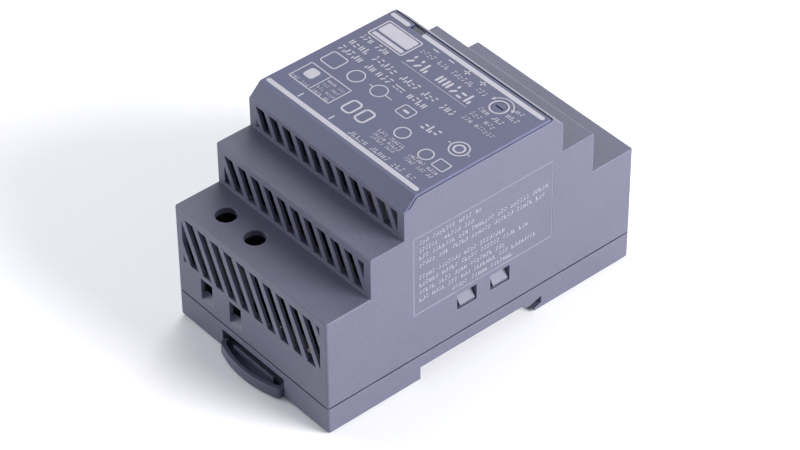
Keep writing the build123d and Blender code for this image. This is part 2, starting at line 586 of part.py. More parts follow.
# ---- rail latch ----------------------------------------------------------------------------
def rail_latch():
    """Sliding latch: bowed pull tab, flanged plate with the spring's window, bevelled tongue."""
    side_y, crown_y = -half_length - LATCH_TAB_SIDE_REACH, -half_length - LATCH_TAB_REACH
    back_y = lip_y - LATCH_CLEARANCE

    def tab_plan(inset):
        half = tab_half - inset
        bow = ThreePointArc((-half, side_y + inset), (0, crown_y + inset), (half, side_y + inset))
        sides = Polyline((half, side_y + inset), (half, back_y), (-half, back_y), (-half, side_y + inset))
        plan = make_face(bow + sides)
        return fillet(plan.vertices().group_by(Axis.Y)[0], LATCH_TAB_ROUND - inset / 2)

    tab_top_z = bottom_z + LATCH_TAB_HEIGHT
    tab = Pos(0, 0, latch_z) * extrude(tab_plan(0), tab_top_z - latch_z)
    pocket = Pos(0, 0, latch_z + LATCH_POCKET_FLOOR) * extrude(tab_plan(LATCH_RIM), LATCH_TAB_HEIGHT)
    tab = tab - pocket
    # behind the rim the tab is cut down to the pocket's floor, and a driver rib crosses it
    tab = tab - block(-mouth_half, mouth_half, LATCH_RIM - half_length, back_y + PAST,
                      latch_top_z, tab_top_z + PAST)
    rib_half = tab_half - LATCH_RIB_INSET
    rib = block(-rib_half, rib_half, -half_length, LATCH_RIB - half_length, latch_z,
                bottom_z + LATCH_RIB_HEIGHT)
    plate = block(-plate_half, plate_half, LATCH_RIM - half_length, plate_end, latch_z, latch_top_z)
    flange = block(-flange_half, flange_half, lip_y, plate_end - LATCH_TRAVEL, latch_flange_z, latch_top_z)
    tip_y = foot_y + TONGUE_REACH
    tongue_half, tongue_top = plate_half - TONGUE_INSET, latch_z + TONGUE_THICKNESS
    root_y = plate_end - PAST
    outline = [(root_y, latch_z), (tip_y - TONGUE_THICKNESS, latch_z),
               (tip_y, tongue_top), (root_y, tongue_top)]
    tongue = side_profile(outline, -tongue_half, tongue_half)
    window = block(-spring_room_half, spring_room_half, post_y - LATCH_STOP_GAP, spring_end_y,
                   latch_z - PAST, latch_top_z + PAST)
    return tab + [rib, plate, flange, tongue] - window


def latch_spring():
    """Flat serpentine spring: straight leaves joined by half rings, between post and latch."""
    start, end = post_y + POST_DEPTH + SPRING_GAP, spring_end_y - SPRING_GAP
    pitch = (end - start - SPRING_LEAF) / (2 * SPRING_WAVES)
    low, high = latch_z + SPRING_GAP, latch_z + SPRING_TALL
    straight = SPRING_HALF - (pitch + SPRING_LEAF) / 2
    spring = None
    for number in range(2 * SPRING_WAVES + 1):
        y = start + number * pitch
        leaf = block(-straight, straight, y, y + SPRING_LEAF, low, high)
        spring = leaf if spring is None else spring + leaf
        if number == 2 * SPRING_WAVES:
            break
        side = 1 if number % 2 == 0 else -1
        centre_y = y + (pitch + SPRING_LEAF) / 2
        turn = upright(side * straight, centre_y, (pitch + SPRING_LEAF) / 2, low, high)
        turn = turn - upright(side * straight, centre_y, (pitch - SPRING_LEAF) / 2, low - PAST, high + PAST)
        inside = sorted((side * straight, side * (straight - pitch - PAST)))
        spare = block(inside[0], inside[1], centre_y - pitch, centre_y + pitch, low - PAST, high + PAST)
        spring = spring + (turn - spare)
    return spring


# ---- terminals -----------------------------------------------------------------------------
def cage_half(row):
    return row["cage_width"] / 2


def clamp_travel(row):
    return CLAMP_TURNS * row["thread_pitch"]


def shoulder_z(row):
    """Underside of the ledge that the screw's head sits on, clear of the raised clamp."""
    return bar_top_z + BAR_CLEARANCE + CAGE_TOP + clamp_travel(row) + CAGE_CLEARANCE


def head_z(row):
    return shoulder_z(row) + SCREW_SHOULDER + SCREW_RUNNING_CLEARANCE


def terminal_block(row):
    """Moulded housing: one chamber for each clamp, a ledge and a driver well over each screw."""
    xs = row_places(row)
    chamber_half = cage_half(row) + CAGE_SIDE_CLEARANCE
    half = (xs[-1] - xs[0]) / 2 + chamber_half + BLOCK_END_WALL
    top = low_step_z - WALL - BLOCK_GAP
    body = row_block(row, row["centre"], half, block_front, block_back, board_top_z, top)
    y = row["side"] * (half_length - SCREW_FROM_END)
    entry_half = row["entry_width"] / 2
    slot_half = row["bar_width"] / 2 + LEAD_CLEARANCE
    ledge_top = shoulder_z(row) + SCREW_SHOULDER
    cuts = []
    for x in xs:
        chamber = row_block(row, x, chamber_half, chamber_front, chamber_back,
                            cage_z - CAGE_CLEARANCE, shoulder_z(row))
        entry = row_block(row, x, entry_half, 0, chamber_front + PAST, entry_low_z, entry_high_z)
        bar_slot = row_block(row, x, slot_half, chamber_back - PAST, block_back + PAST,
                             entry_high_z - LEAD_CLEARANCE, bar_top_z + LEAD_CLEARANCE)
        shank_hole = upright(x, y, row["screw_radius"] + BAR_CLEARANCE, cage_z, top + PAST)
        driver_well = upright(x, y, row["head_radius"] + HEAD_CLEARANCE, ledge_top, top + PAST)
        cuts += [chamber, entry, bar_slot, shank_hole, driver_well]
    return body - cuts


def terminal_clamp(row, x):
    """Rising cage: a ring that the wire passes through, threaded on its screw."""
    half = cage_half(row)
    near, far = SCREW_FROM_END - CAGE_DEPTH / 2, SCREW_FROM_END + CAGE_DEPTH / 2
    top = bar_top_z + BAR_CLEARANCE
    cage = row_block(row, x, half, near, far, cage_z, top + CAGE_TOP)
    window = row_block(row, x, half - row["cage_wall"], near - PAST, far + PAST, entry_low_z, top)
    y = row["side"] * (half_length - SCREW_FROM_END)
    hole = upright(x, y, row["screw_radius"] + SCREW_RUNNING_CLEARANCE, top - PAST, top + CAGE_TOP + PAST)
    return cage - [window, hole]


def terminal_screw(row, x):
    """Slotted screw that stands on the contact bar and drives its clamp."""
    y = row["side"] * (half_length - SCREW_FROM_END)
    underside = head_z(row)
    shank = upright(x, y, row["screw_radius"], bar_top_z + SCREW_RUNNING_CLEARANCE, underside + BITE)
    head = upright(x, y, row["head_radius"], underside, underside + HEAD_HEIGHT)
    past = row["head_radius"] + PAST
    slot = block(x - past, x + past, y - DRIVE_SLOT / 2, y + DRIVE_SLOT / 2,
                 underside + HEAD_HEIGHT - DRIVE_SLOT_DEPTH, underside + HEAD_HEIGHT + PAST)
    return shank + head - slot


def contact_bars(row):
    """One bent strip for each pole: over the wire, out of the block's back and down into the board."""
    bars = []
    half = row["bar_width"] / 2
    bend = block_back + BAR_BEND
    for x in row_places(row):
        flat = row_block(row, x, half, chamber_front + CAGE_SIDE_CLEARANCE, bend, entry_high_z, bar_top_z)
        tail = row_block(row, x, half, bend - BAR_THICKNESS, bend, board_z - LEAD_TAIL, bar_top_z)
        bars.append(flat + tail)
    return Compound(children=bars)


def bar_slots(row):
    """Room in the main board for the tails of a row's contact bars."""
    half = row["bar_width"] / 2 + LEAD_CLEARANCE
    return [row_block(row, x, half, block_back + BAR_BEND - BAR_THICKNESS - LEAD_CLEARANCE,
                      block_back + BAR_BEND + LEAD_CLEARANCE, board_z - PAST, board_top_z + PAST)
            for x in row_places(row)]


# ---- electronics ---------------------------------------------------------------------------
def lead_pair(x, y, span, along="X"):
    """Places of two leads, a span apart along X or Y."""
    if along == "X":
        return [(x - span / 2, y), (x + span / 2, y)]
    return [(x, y - span / 2), (x, y + span / 2)]


def on_board(size, x, y, lift=0.0):
    """A box of a size, standing on the main board or held above it."""
    width, depth, height = size
    z = board_top_z + lift
    return block(x - width / 2, x + width / 2, y - depth / 2, y + depth / 2, z, z + height)


def fuse_tube():
    z = board_top_z + FUSE["lift"] + FUSE["radius"]
    half = FUSE["length"] / 2 - FUSE["cap_wall"]
    return lying_x(FUSE["y"], z, FUSE["radius"] - FUSE["cap_wall"], FUSE["x"] - half, FUSE["x"] + half)


def fuse_caps():
    """Two metal cups on the tube's ends, each with its lead into the board."""
    z = board_top_z + FUSE["lift"] + FUSE["radius"]
    caps = []
    for side in (-1, 1):
        lead_x = FUSE["x"] + side * (FUSE["length"] - FUSE["cap"]) / 2
        cup = lying_x(FUSE["y"], z, FUSE["radius"], lead_x - FUSE["cap"] / 2, lead_x + FUSE["cap"] / 2)
        wire = leads([(lead_x, FUSE["y"])], LEAD_RADIUS, z)
        caps.append(cup + wire - fuse_tube())
    return Compound(children=caps)


def disc_part(data, along):
    """Coated disc on two leads, its flat faces across X or Y."""
    z = board_top_z + data["lift"] + data["radius"]
    half = data["thickness"] / 2
    if along == "X":
        disc = lying_x(data["y"], z, data["radius"], data["x"] - half, data["x"] + half)
    else:
        disc = lying_y(data["x"], z, data["radius"], data["y"] - half, data["y"] + half)
    disc = fillet(disc.edges().filter_by(GeomType.CIRCLE), half * DISC_ROUNDING)
    across = "Y" if along == "X" else "X"
    return disc + leads(lead_pair(data["x"], data["y"], DISC_LEAD_SPAN, across), LEAD_RADIUS, z)


def x_capacitor():
    case = on_board(X_CAPACITOR["size"], X_CAPACITOR["x"], X_CAPACITOR["y"])
    places = lead_pair(X_CAPACITOR["x"], X_CAPACITOR["y"], X_CAPACITOR["lead_span"])
    return case + leads(places, LEAD_RADIUS, board_top_z + PAST)


def choke_ring(radius, bore, thickness):
    """A standing ring about the choke's axis."""
    z = board_top_z + CHOKE["lift"] + CHOKE["winding"] + CHOKE["radius"]
    half = thickness / 2
    ring = lying_y(CHOKE["x"], z, radius, CHOKE["y"] - half, CHOKE["y"] + half)
    return ring - lying_y(CHOKE["x"], z, bore, CHOKE["y"] - half - PAST, CHOKE["y"] + half + PAST)


def choke_core():
    return choke_ring(CHOKE["radius"], CHOKE["bore"], CHOKE["thickness"])


def choke_windings():
    """Two coils round the core, one on each side, each with its pair of leads."""
    turns = CHOKE["winding"]
    coil = choke_ring(CHOKE["radius"] + turns, CHOKE["bore"] - turns, CHOKE["thickness"] + 2 * turns)
    coil = coil - choke_core()
    z = board_top_z + CHOKE["lift"] + turns + CHOKE["radius"]
    reach = 3 * CHOKE["radius"]
    rise = reach * tan(radians(CHOKE["sector"]))
    coils = []
    for side in (-1, 1):
        far_x = CHOKE["x"] + side * reach
        corners = [(CHOKE["x"], z), (far_x, z - rise), (far_x, z + rise)]
        wedge = front_profile(corners, CHOKE["y"] - reach, CHOKE["y"] + reach)
        lead_x = CHOKE["x"] + side * (CHOKE["radius"] + turns / 2)
        tails = leads(lead_pair(lead_x, CHOKE["y"], CHOKE["thickness"] + turns, "Y"), LEAD_RADIUS, z)
        coils.append((coil & wedge) + tails - choke_core())
    return Compound(children=coils)


def bridge_rectifier():
    body = on_board(BRIDGE["size"], BRIDGE["x"], BRIDGE["y"], BRIDGE["lift"])
    first = BRIDGE["x"] - (BRIDGE["leads"] - 1) / 2 * BRIDGE["lead_pitch"]
    places = [(first + n * BRIDGE["lead_pitch"], BRIDGE["y"]) for n in range(BRIDGE["leads"])]
    return body + leads(places, LEAD_RADIUS, board_top_z + BRIDGE["lift"] + PAST)


def can_capacitor(data, x, y, top):
    """Electrolytic can with its rolled groove near the foot and two leads."""
    can = upright(x, y, data["radius"], board_top_z, top)
    can = fillet(can.edges().filter_by(GeomType.CIRCLE), data["groove"])
    ring = Torus(data["radius"] + data["groove"] / 4, data["groove"])
    groove = Pos(x, y, board_top_z + data["groove_height"]) * ring
    return can - groove + leads(lead_pair(x, y, data["lead_pitch"], "Y"), LEAD_RADIUS, board_top_z + PAST)


def output_capacitors():
    """Two cans that stand partly under the terminal step."""
    top = low_step_z - WALL - OUTPUT_CAPACITORS["headroom"]
    return Compound(children=[can_capacitor(OUTPUT_CAPACITORS, x, y, top)
                              for x, y in OUTPUT_CAPACITORS["places"]])


def heat_sink(data, screw_x):
    """Upright plate with a threaded hole for its package's screw."""
    half = data["thickness"] / 2
    plate = block(data["x0"], data["x1"], data["y"] - half, data["y"] + half, board_top_z,
                  board_top_z + data["height"])
    near, far = data["y"] - data["thickness"], data["y"] + data["thickness"]
    return plate - lying_y(screw_x, package_hole_z(), SINK_SCREW["radius"], near, far)


def package_hole_z():
    return board_top_z + PACKAGE["lift"] + PACKAGE["height"] - PACKAGE["hole_from_top"]


def power_package(sink, x):
    """Three-leaded package, its tab flat against the heat sink's +Y face."""
    face = sink["y"] + sink["thickness"] / 2
    z = board_top_z + PACKAGE["lift"]
    half = PACKAGE["width"] / 2
    body = block(x - half, x + half, face, face + PACKAGE["thickness"], z, z + PACKAGE["body_height"])
    tab = block(x - half, x + half, face, face + PACKAGE["tab"], z, z + PACKAGE["height"])
    hole = lying_y(x, package_hole_z(), PACKAGE["hole_radius"], face - PAST, face + PACKAGE["tab"] + PAST)
    places = [(x + n * PACKAGE["lead_pitch"], face + PACKAGE["thickness"] / 2) for n in (-1, 0, 1)]
    return body + tab + leads(places, LEAD_RADIUS, z + PAST) - hole


def heat_sink_screws():
    """One screw through each package's tab into its heat sink."""
    screws = []
    for sink, x in ((PRIMARY_SINK, SWITCH_X), (OUTPUT_SINK, RECTIFIER_X)):
        face = sink["y"] + sink["thickness"] / 2 + PACKAGE["tab"]
        z = package_hole_z()
        shank = lying_y(x, z, SINK_SCREW["radius"], face - SINK_SCREW["length"], face + BITE)
        head = lying_y(x, z, SINK_SCREW["head_radius"], face, face + SINK_SCREW["head_height"])
        past = SINK_SCREW["head_radius"] + PAST
        slot_floor = face + SINK_SCREW["head_height"] / 2
        slot = block(x - past, x + past, slot_floor, slot_floor + past,
                     z - DRIVE_SLOT / 2, z + DRIVE_SLOT / 2)
        screws.append(shank + head - slot)
    return Compound(children=screws)


def transformer_core():
    """Ferrite frame with a centre leg between two windows."""
    width, depth, _ = TRANSFORMER["core"]
    x, y = TRANSFORMER["x"], TRANSFORMER["y"]
    core = on_board(TRANSFORMER["core"], x, y, TRANSFORMER["lift"])
    window_width = width / 2 - TRANSFORMER["leg"]
    window = (window_width, depth + 2 * PAST, TRANSFORMER["window_height"])
    offset = (TRANSFORMER["leg"] + window_width) / 2
    lift = TRANSFORMER["lift"] + TRANSFORMER["yoke"]
    return core - [on_board(window, x + side * offset, y, lift) for side in (-1, 1)]


def transformer_winding():
    """Taped winding on its former, round the centre leg and through both windows."""
    x, y = TRANSFORMER["x"], TRANSFORMER["y"]
    gap = TRANSFORMER["gap"]
    width = TRANSFORMER["core"][0] - TRANSFORMER["leg"] - 2 * gap
    low = board_top_z + TRANSFORMER["lift"] + TRANSFORMER["yoke"] + gap
    high = low + TRANSFORMER["window_height"] - 2 * gap
    half_depth = TRANSFORMER["winding_depth"] / 2
    coil = block(x - width / 2, x + width / 2, y - half_depth, y + half_depth, low, high)
    coil = fillet(coil.edges().filter_by(Axis.Z), TRANSFORMER["coil_round"])
    leg_x, leg_y = TRANSFORMER["leg"] / 2 + gap, TRANSFORMER["core"][1] / 2 + gap
    return coil - block(x - leg_x, x + leg_x, y - leg_y, y + leg_y, low - PAST, high + PAST)


def transformer_base():
    """Moulded pin base under the core, with a cradle on each side that holds the winding."""
    x, y = TRANSFORMER["x"], TRANSFORMER["y"]
    depth = TRANSFORMER["base"][1]
    base = on_board(TRANSFORMER["base"], x, y)
    cradle_depth = (depth - TRANSFORMER["core"][1]) / 2 - TRANSFORMER["gap"]
    rise = TRANSFORMER["lift"] + TRANSFORMER["yoke"]
    cradle_width = TRANSFORMER["core"][0] - TRANSFORMER["leg"]
    for side in (-1, 1):
        base = base + on_board((cradle_width, cradle_depth, rise), x, y + side * (depth - cradle_depth) / 2)
    first_pin = x - (TRANSFORMER["pins"] - 1) / 2 * TRANSFORMER["pin_pitch"]
    pin_y = (depth - cradle_depth) / 2
    places = [(first_pin + n * TRANSFORMER["pin_pitch"], y + side * pin_y)
              for n in range(TRANSFORMER["pins"]) for side in (-1, 1)]
    return base + leads(places, LEAD_RADIUS, board_top_z + PAST)


def output_choke_core():
    """Ferrite bobbin: a flange at each end of a post."""
    data = OUTPUT_CHOKE
    top = board_top_z + data["height"]
    post = upright(data["x"], data["y"], data["core_radius"], board_top_z, top)
    low = upright(data["x"], data["y"], data["flange_radius"], board_top_z, board_top_z + data["flange"])
    high = upright(data["x"], data["y"], data["flange_radius"], top - data["flange"], top)
    places = lead_pair(data["x"], data["y"], data["flange_radius"])
    return post + low + high + leads(places, LEAD_RADIUS, board_top_z + BITE)


def output_choke_winding():
    data = OUTPUT_CHOKE
    low, high = board_top_z + data["flange"], board_top_z + data["height"] - data["flange"]
    coil = upright(data["x"], data["y"], data["winding_radius"], low, high)
    return coil - upright(data["x"], data["y"], data["core_radius"], low - PAST, high + PAST)


def control_board():
    return block(-control_half, control_half, CONTROL_BOARD_Y, CONTROL_BOARD_Y + BOARD_THICKNESS,
                 board_top_z, control_top_z)


def control_header():
    """Plastic strip and pins that join the control board to the main board."""
    length = HEADER_PINS["count"] * HEADER_PINS["pitch"]
    pin_y = CONTROL_BOARD_Y - HEADER_PINS["offset"]
    strip = on_board((length, 2 * HEADER_PINS["offset"], HEADER_PINS["height"]), 0, pin_y)
    first = (HEADER_PINS["pitch"] - length) / 2
    places = [(first + n * HEADER_PINS["pitch"], pin_y) for n in range(HEADER_PINS["count"])]
    return strip + leads(places, HEADER_PINS["radius"], board_top_z + PAST)


def on_control_board(data):
    """A chip with its back on the control board's -Y face."""
    width, depth, height = data["size"]
    return on_board((width, depth, height), data["x"], CONTROL_BOARD_Y - depth / 2, data["height"])


def status_light():
    half = LED_BODY["width"] / 2
    return block(LED_X - half, LED_X + half, CONTROL_BOARD_Y, CONTROL_BOARD_Y + LED_BODY["depth"],
                 control_top_z, led_top_z)


def trimmer_body():
    """Square potentiometer on the control board, bored for its rotor."""
    half = TRIMMER_BODY / 2
    body = block(TRIMMER_X - half, TRIMMER_X + half, TRIMMER_Y - half, CONTROL_BOARD_Y,
                 trimmer_top_z - TRIMMER_BODY_HEIGHT, trimmer_top_z)
    bore_z = trimmer_top_z - TRIMMER_BODY_HEIGHT / 2
    bore_radius = TRIMMER_STEM_RADIUS + TRIMMER_STEM_CLEARANCE
    return body - upright(TRIMMER_X, TRIMMER_Y, bore_radius, bore_z, trimmer_top_z + PAST)


def trimmer_knob():
    """Rotor with a flush slotted head in the front panel and a stem in the trimmer's body."""
    top = front_z - TRIMMER_KNOB_RECESS
    foot_z = trimmer_top_z - TRIMMER_BODY_HEIGHT / 2 + TRIMMER_END_GAP
    head = upright(TRIMMER_X, TRIMMER_Y, TRIMMER_KNOB_RADIUS, trimmer_top_z + TRIMMER_END_GAP, top)
    stem = upright(TRIMMER_X, TRIMMER_Y, TRIMMER_STEM_RADIUS, foot_z, trimmer_top_z + PAST)
    reach = TRIMMER_KNOB_RADIUS - TRIMMER_SLOT
    slot = block(TRIMMER_X - reach, TRIMMER_X + reach, TRIMMER_Y - TRIMMER_SLOT / 2,
                 TRIMMER_Y + TRIMMER_SLOT / 2, top - TRIMMER_SLOT_DEPTH, top + PAST)
    return head + stem - slot


def main_board():
    """The board, drilled for every lead; it is made after all the parts that stand on it."""
    board = block(-board_half_width, board_half_width, -board_half_length, board_half_length,
                  board_z, board_top_z)
    drills = [upright(x, y, radius + LEAD_CLEARANCE, board_z - PAST, board_top_z + PAST)
              for x, y, radius in lead_holes]
    return board - drills - bar_slots(INPUT_ROW) - bar_slots(OUTPUT_ROW)


# ---- the whole assembly --------------------------------------------------------------------
def all_parts():
    parts = {
        "cover_shell": cover_shell(),
        "front_panel": front_panel(),
        "base_shell": base_shell(),
        "rail_latch": rail_latch(),
        "latch_spring": latch_spring(),
        "indicator_lens": indicator_lens(),
        "input_terminal_block": terminal_block(INPUT_ROW),
        "output_terminal_block": terminal_block(OUTPUT_ROW),
        "input_contact_bars": contact_bars(INPUT_ROW),
        "output_contact_bars": contact_bars(OUTPUT_ROW),
        "fuse_tube": fuse_tube(),
        "fuse_caps": fuse_caps(),
        "inrush_thermistor": disc_part(THERMISTOR, "X"),
        "surge_varistor": disc_part(VARISTOR, "Y"),
        "line_filter_capacitor": x_capacitor(),
        "line_choke_core": choke_core(),
        "line_choke_windings": choke_windings(),
        "bridge_rectifier": bridge_rectifier(),
        "bulk_capacitor": can_capacitor(BULK_CAPACITOR, BULK_CAPACITOR["x"], BULK_CAPACITOR["y"],
                                        board_top_z + BULK_CAPACITOR["height"]),
        "switch_heat_sink": heat_sink(PRIMARY_SINK, SWITCH_X),
        "switching_transistor": power_package(PRIMARY_SINK, SWITCH_X),
        "rectifier_heat_sink": heat_sink(OUTPUT_SINK, RECTIFIER_X),
        "output_rectifier": power_package(OUTPUT_SINK, RECTIFIER_X),
        "heat_sink_screws": heat_sink_screws(),
        "transformer_core": transformer_core(),
        "transformer_winding": transformer_winding(),
        "transformer_base": transformer_base(),
        "output_capacitors": output_capacitors(),
        "output_choke_core": output_choke_core(),
        "output_choke_winding": output_choke_winding(),
        "safety_capacitor": disc_part(Y_CAPACITOR, "X"),
        "control_board": control_board(),
        "control_header": control_header(),
        "optocoupler": on_control_board(OPTOCOUPLER),
        "control_chip": on_control_board(CONTROLLER),
        "status_light": status_light(),
        "trimmer_body": trimmer_body(),
        "trimmer_knob": trimmer_knob(),
    }
    for name, row in (("input", INPUT_ROW), ("output", OUTPUT_ROW)):
        for number, x in enumerate(row_places(row), 1):
            parts[f"{name}_clamp_{number}"] = terminal_clamp(row, x)
            parts[f"{name}_screw_{number}"] = terminal_screw(row, x)
    parts["main_board"] = main_board()
    return parts


if __name__ == "__main__":
    os.makedirs("parts", exist_ok=True)
    for node, shape in all_parts().items():
        export_step(shape, f"parts/{node}.step")
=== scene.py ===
import json
from math import cos, pi, radians, sin

import bpy
import numpy as np
from bpy.props import FloatProperty, FloatVectorProperty, IntProperty, PointerProperty
from mathutils import Matrix, Vector


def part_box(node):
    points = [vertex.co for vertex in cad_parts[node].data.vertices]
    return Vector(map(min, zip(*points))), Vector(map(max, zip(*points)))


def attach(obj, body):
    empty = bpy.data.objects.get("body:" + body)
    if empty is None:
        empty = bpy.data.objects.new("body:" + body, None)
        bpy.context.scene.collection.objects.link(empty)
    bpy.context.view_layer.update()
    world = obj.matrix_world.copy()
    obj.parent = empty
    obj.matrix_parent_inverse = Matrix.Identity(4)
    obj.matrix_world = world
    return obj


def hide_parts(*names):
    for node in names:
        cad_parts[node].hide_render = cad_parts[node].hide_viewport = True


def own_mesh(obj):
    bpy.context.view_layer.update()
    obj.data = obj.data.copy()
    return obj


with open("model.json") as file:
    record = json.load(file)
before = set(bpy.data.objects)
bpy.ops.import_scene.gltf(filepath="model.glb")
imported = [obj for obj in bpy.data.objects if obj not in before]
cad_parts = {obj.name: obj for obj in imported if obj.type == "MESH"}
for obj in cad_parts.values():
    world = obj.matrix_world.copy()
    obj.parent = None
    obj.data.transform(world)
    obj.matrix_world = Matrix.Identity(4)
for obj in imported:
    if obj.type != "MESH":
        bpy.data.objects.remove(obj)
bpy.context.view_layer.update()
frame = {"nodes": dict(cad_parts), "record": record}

# Looks of a DIN rail power supply: moulded casing, printed front and side, rail spring and the
# electronics behind the louvres. Lengths in the tables are millimetres in the CAD's own frame:
# +X across the width, +Y from the input end to the output end, +Z out of the front.

bl_info = {
    "name": "DIN Rail Power Supply",
    "version": (1, 0, 0),
    "blender": (4, 5, 0),
    "location": "3D Viewport > Sidebar > Power Supply",
    "description": "Finishes and fine pieces of a DIN rail power supply",
    "category": "Object",
}

MM = 0.001
HOUSING = "housing"
FIELD_SUNK = 0.05          # the side wall's printing field lies this far behind the wall
INK_GAP = 0.005            # air under the ink, so that no two faces share a plane


def corners_mm(node):
    """Lowest and highest corner of a CAD node, in millimetres."""
    low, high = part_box(node)
    return np.array(low) / MM, np.array(high) / MM


PANEL_FACE = corners_mm("front_panel")[1][2]
SIDE_FIELD = corners_mm("cover_shell")[1][0] - FIELD_SUNK
UNDERSIDE = corners_mm("base_shell")[0][2]


# ---- settings ------------------------------------------------------------------------------
def colour_setting(name, description, default):
    """A colour setting held as linear values."""
    return FloatVectorProperty(name=name, description=description, subtype="COLOR", size=3,
                               min=0.0, max=1.0, default=default)


def linear(code):
    """Linear red, green and blue of an sRGB hex colour."""
    parts = np.array([int(code[place:place + 2], 16) for place in (1, 3, 5)]) / 255.0
    return tuple(np.where(parts <= 0.04045, parts / 12.92, ((parts + 0.055) / 1.055) ** 2.4))


class CasingSettings(bpy.types.PropertyGroup):
    """Colours and grain of the moulded casing."""
    case_colour: colour_setting("Case", "Cover and base plastic", linear("#59596c"))
    panel_colour: colour_setting("Panel", "Front panel plastic", linear("#4d506b"))
    latch_colour: colour_setting("Latch", "Rail latch plastic", linear("#4d4e62"))
    grain: FloatProperty(name="Grain", description="Width of one grain of the moulded texture",
                         default=0.40, min=0.05, max=2.0)
    # Reach of the painted highlight along the edges, and of their rounded normals.
    edge: FloatProperty(name="Edge radius", description="How far the polished edges reach",
                        default=0.16, min=0.0, max=2.0)


class PrintSettings(bpy.types.PropertyGroup):
    """Pad printed marks."""
    ink_colour: colour_setting("Ink", "Pale pad printing ink", linear("#aca9b2"))
    side_ink_colour: colour_setting("Side ink", "Thin side printing", linear("#a8a2ab"))
    ink_film: FloatProperty(name="Ink film", description="Thickness of the ink in millimetres",
                            default=0.03, min=0.01, max=0.045)
    seed: IntProperty(name="Seed", description="Chooses the order of the printed strokes",
                      default=17, min=0)


class WiringSettings(bpy.types.PropertyGroup):
    """Wound pieces and the rail spring."""
    choke_wire: FloatProperty(name="Choke wire", description="Line choke wire, millimetres",
                              default=1.1, min=0.2, max=1.3)
    output_wire: FloatProperty(name="Output wire", description="Output choke wire, millimetres",
                               default=1.0, min=0.2, max=1.6)
    spring_leaf: FloatProperty(name="Spring leaf", description="Spring leaf, millimetres",
                               default=0.55, min=0.2, max=0.6)


class StageSettings(bpy.types.PropertyGroup):
    """Floor, lights and camera."""
    floor_colour: colour_setting("Floor", "Pale studio floor", linear("#ffffff"))
    world_colour: colour_setting("Room tint", "Cool tint of the even room light",
                                 linear("#eceeff"))
    world_light: FloatProperty(name="Room light", description="Strength of the even room light",
                               default=0.36, min=0.0, max=10.0)
    camera_azimuth: FloatProperty(name="Azimuth", description="Turn of the camera from the front",
                                  default=radians(49.67), subtype="ANGLE")
    camera_elevation: FloatProperty(name="Elevation", description="Camera above the horizon",
                                    default=radians(40.81), subtype="ANGLE")
    camera_roll: FloatProperty(name="Roll", description="Camera leaning about its own line",
                               default=radians(-0.507), subtype="ANGLE")
    camera_distance: FloatProperty(name="Distance", description="Camera to its target",
                                   default=0.730, min=0.1, subtype="DISTANCE", unit="LENGTH")
    camera_lens: FloatProperty(name="Lens", description="Focal length on a 36 mm sensor",
                               default=146.5, min=10.0, unit="CAMERA")


# ---- meshes --------------------------------------------------------------------------------
def put_piece(name, shape, material, smooth=False):
    """Makes one mesh at the origin from points in millimetres and lists of corners.

    Every new piece is part of the housing's body. The spring is too, and keeps one shape there.
    """
    points, faces = shape
    mesh = bpy.data.meshes.new(name)
    mesh.from_pydata((np.asarray(points, float) * MM).tolist(), [], faces)
    mesh.polygons.foreach_set("use_smooth", np.full(len(mesh.polygons), smooth))
    mesh.materials.append(material)
    mesh.update()
    piece = bpy.data.objects.new(name, mesh)
    bpy.context.scene.collection.objects.link(piece)
    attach(piece, HOUSING)
    return piece


def grid_faces(rows, columns, closed):
    """Quads of a grid whose columns join up in a ring, and whose rows do when it is closed."""
    row = np.arange(rows if closed else rows - 1)[:, None]
    column = np.arange(columns)[None, :]
    next_row, next_column = (row + 1) % rows, (column + 1) % columns
    quads = [row * columns + column, row * columns + next_column,
             next_row * columns + next_column, next_row * columns + column]
    return np.stack(np.broadcast_arrays(*quads), -1).reshape(-1, 4).tolist()


def swept(path, up, section):
    """Surface P(s, t) = path(s) + side(s) * across(t) + up(s) * over(t).

    side is the path's direction crossed with up, and up is squared to both. The section goes
    round against the clock seen along the path, and each end closes with one face.
    """
    path = np.asarray(path, float)
    along = np.gradient(path, axis=0)
    along = along / np.linalg.norm(along, axis=1)[:, None]
    side = np.cross(along, np.broadcast_to(up, path.shape))
    side = side / np.linalg.norm(side, axis=1)[:, None]
    over = np.cross(side, along)
    points = (path[:, None, :] + side[:, None, :] * section[None, :, :1]
              + over[:, None, :] * section[None, :, 1:])
    rows, columns = points.shape[:2]
    faces = grid_faces(rows, columns, False)
    faces.append(list(range(columns))[::-1])
    faces.append(list(range((rows - 1) * columns, rows * columns)))
    return points.reshape(-1, 3), [face[::-1] for face in faces]


def joined(shapes):
    """Several shapes as one list of points and faces."""
    points, faces, start = [], [], 0
    for shape_points, shape_faces in shapes:
        points.append(np.asarray(shape_points, float))
        faces += [[corner + start for corner in face] for face in shape_faces]
        start += len(shape_points)
    return np.concatenate(points), faces


def round_section(radius, count):
    """Circle of count points: (r cos a, r sin a)."""
    angle = np.arange(count) * 2 * pi / count
    return radius * np.stack([np.cos(angle), np.sin(angle)], -1)


# ---- printed shapes: flat outlines given a film's thickness ---------------------------------
def rounded_box(left, right, low, high, radius, steps=5):
    """Outline, against the clock: four quarter circles of one radius about the inner corners."""
    angle = np.linspace(0.0, pi / 2, steps)[None, :] + (np.arange(4) * pi / 2)[:, None]
    across = np.array([right - radius, left + radius, left + radius, right - radius])[:, None]
    over = np.array([high - radius, high - radius, low + radius, low + radius])[:, None]
    return np.stack([across + radius * np.cos(angle), over + radius * np.sin(angle)],
                    -1).reshape(-1, 2)


def circle(across, over, radius, count=40):
    """Outline: centre + r (cos a, sin a)."""
    return np.array([across, over]) + round_section(radius, count)


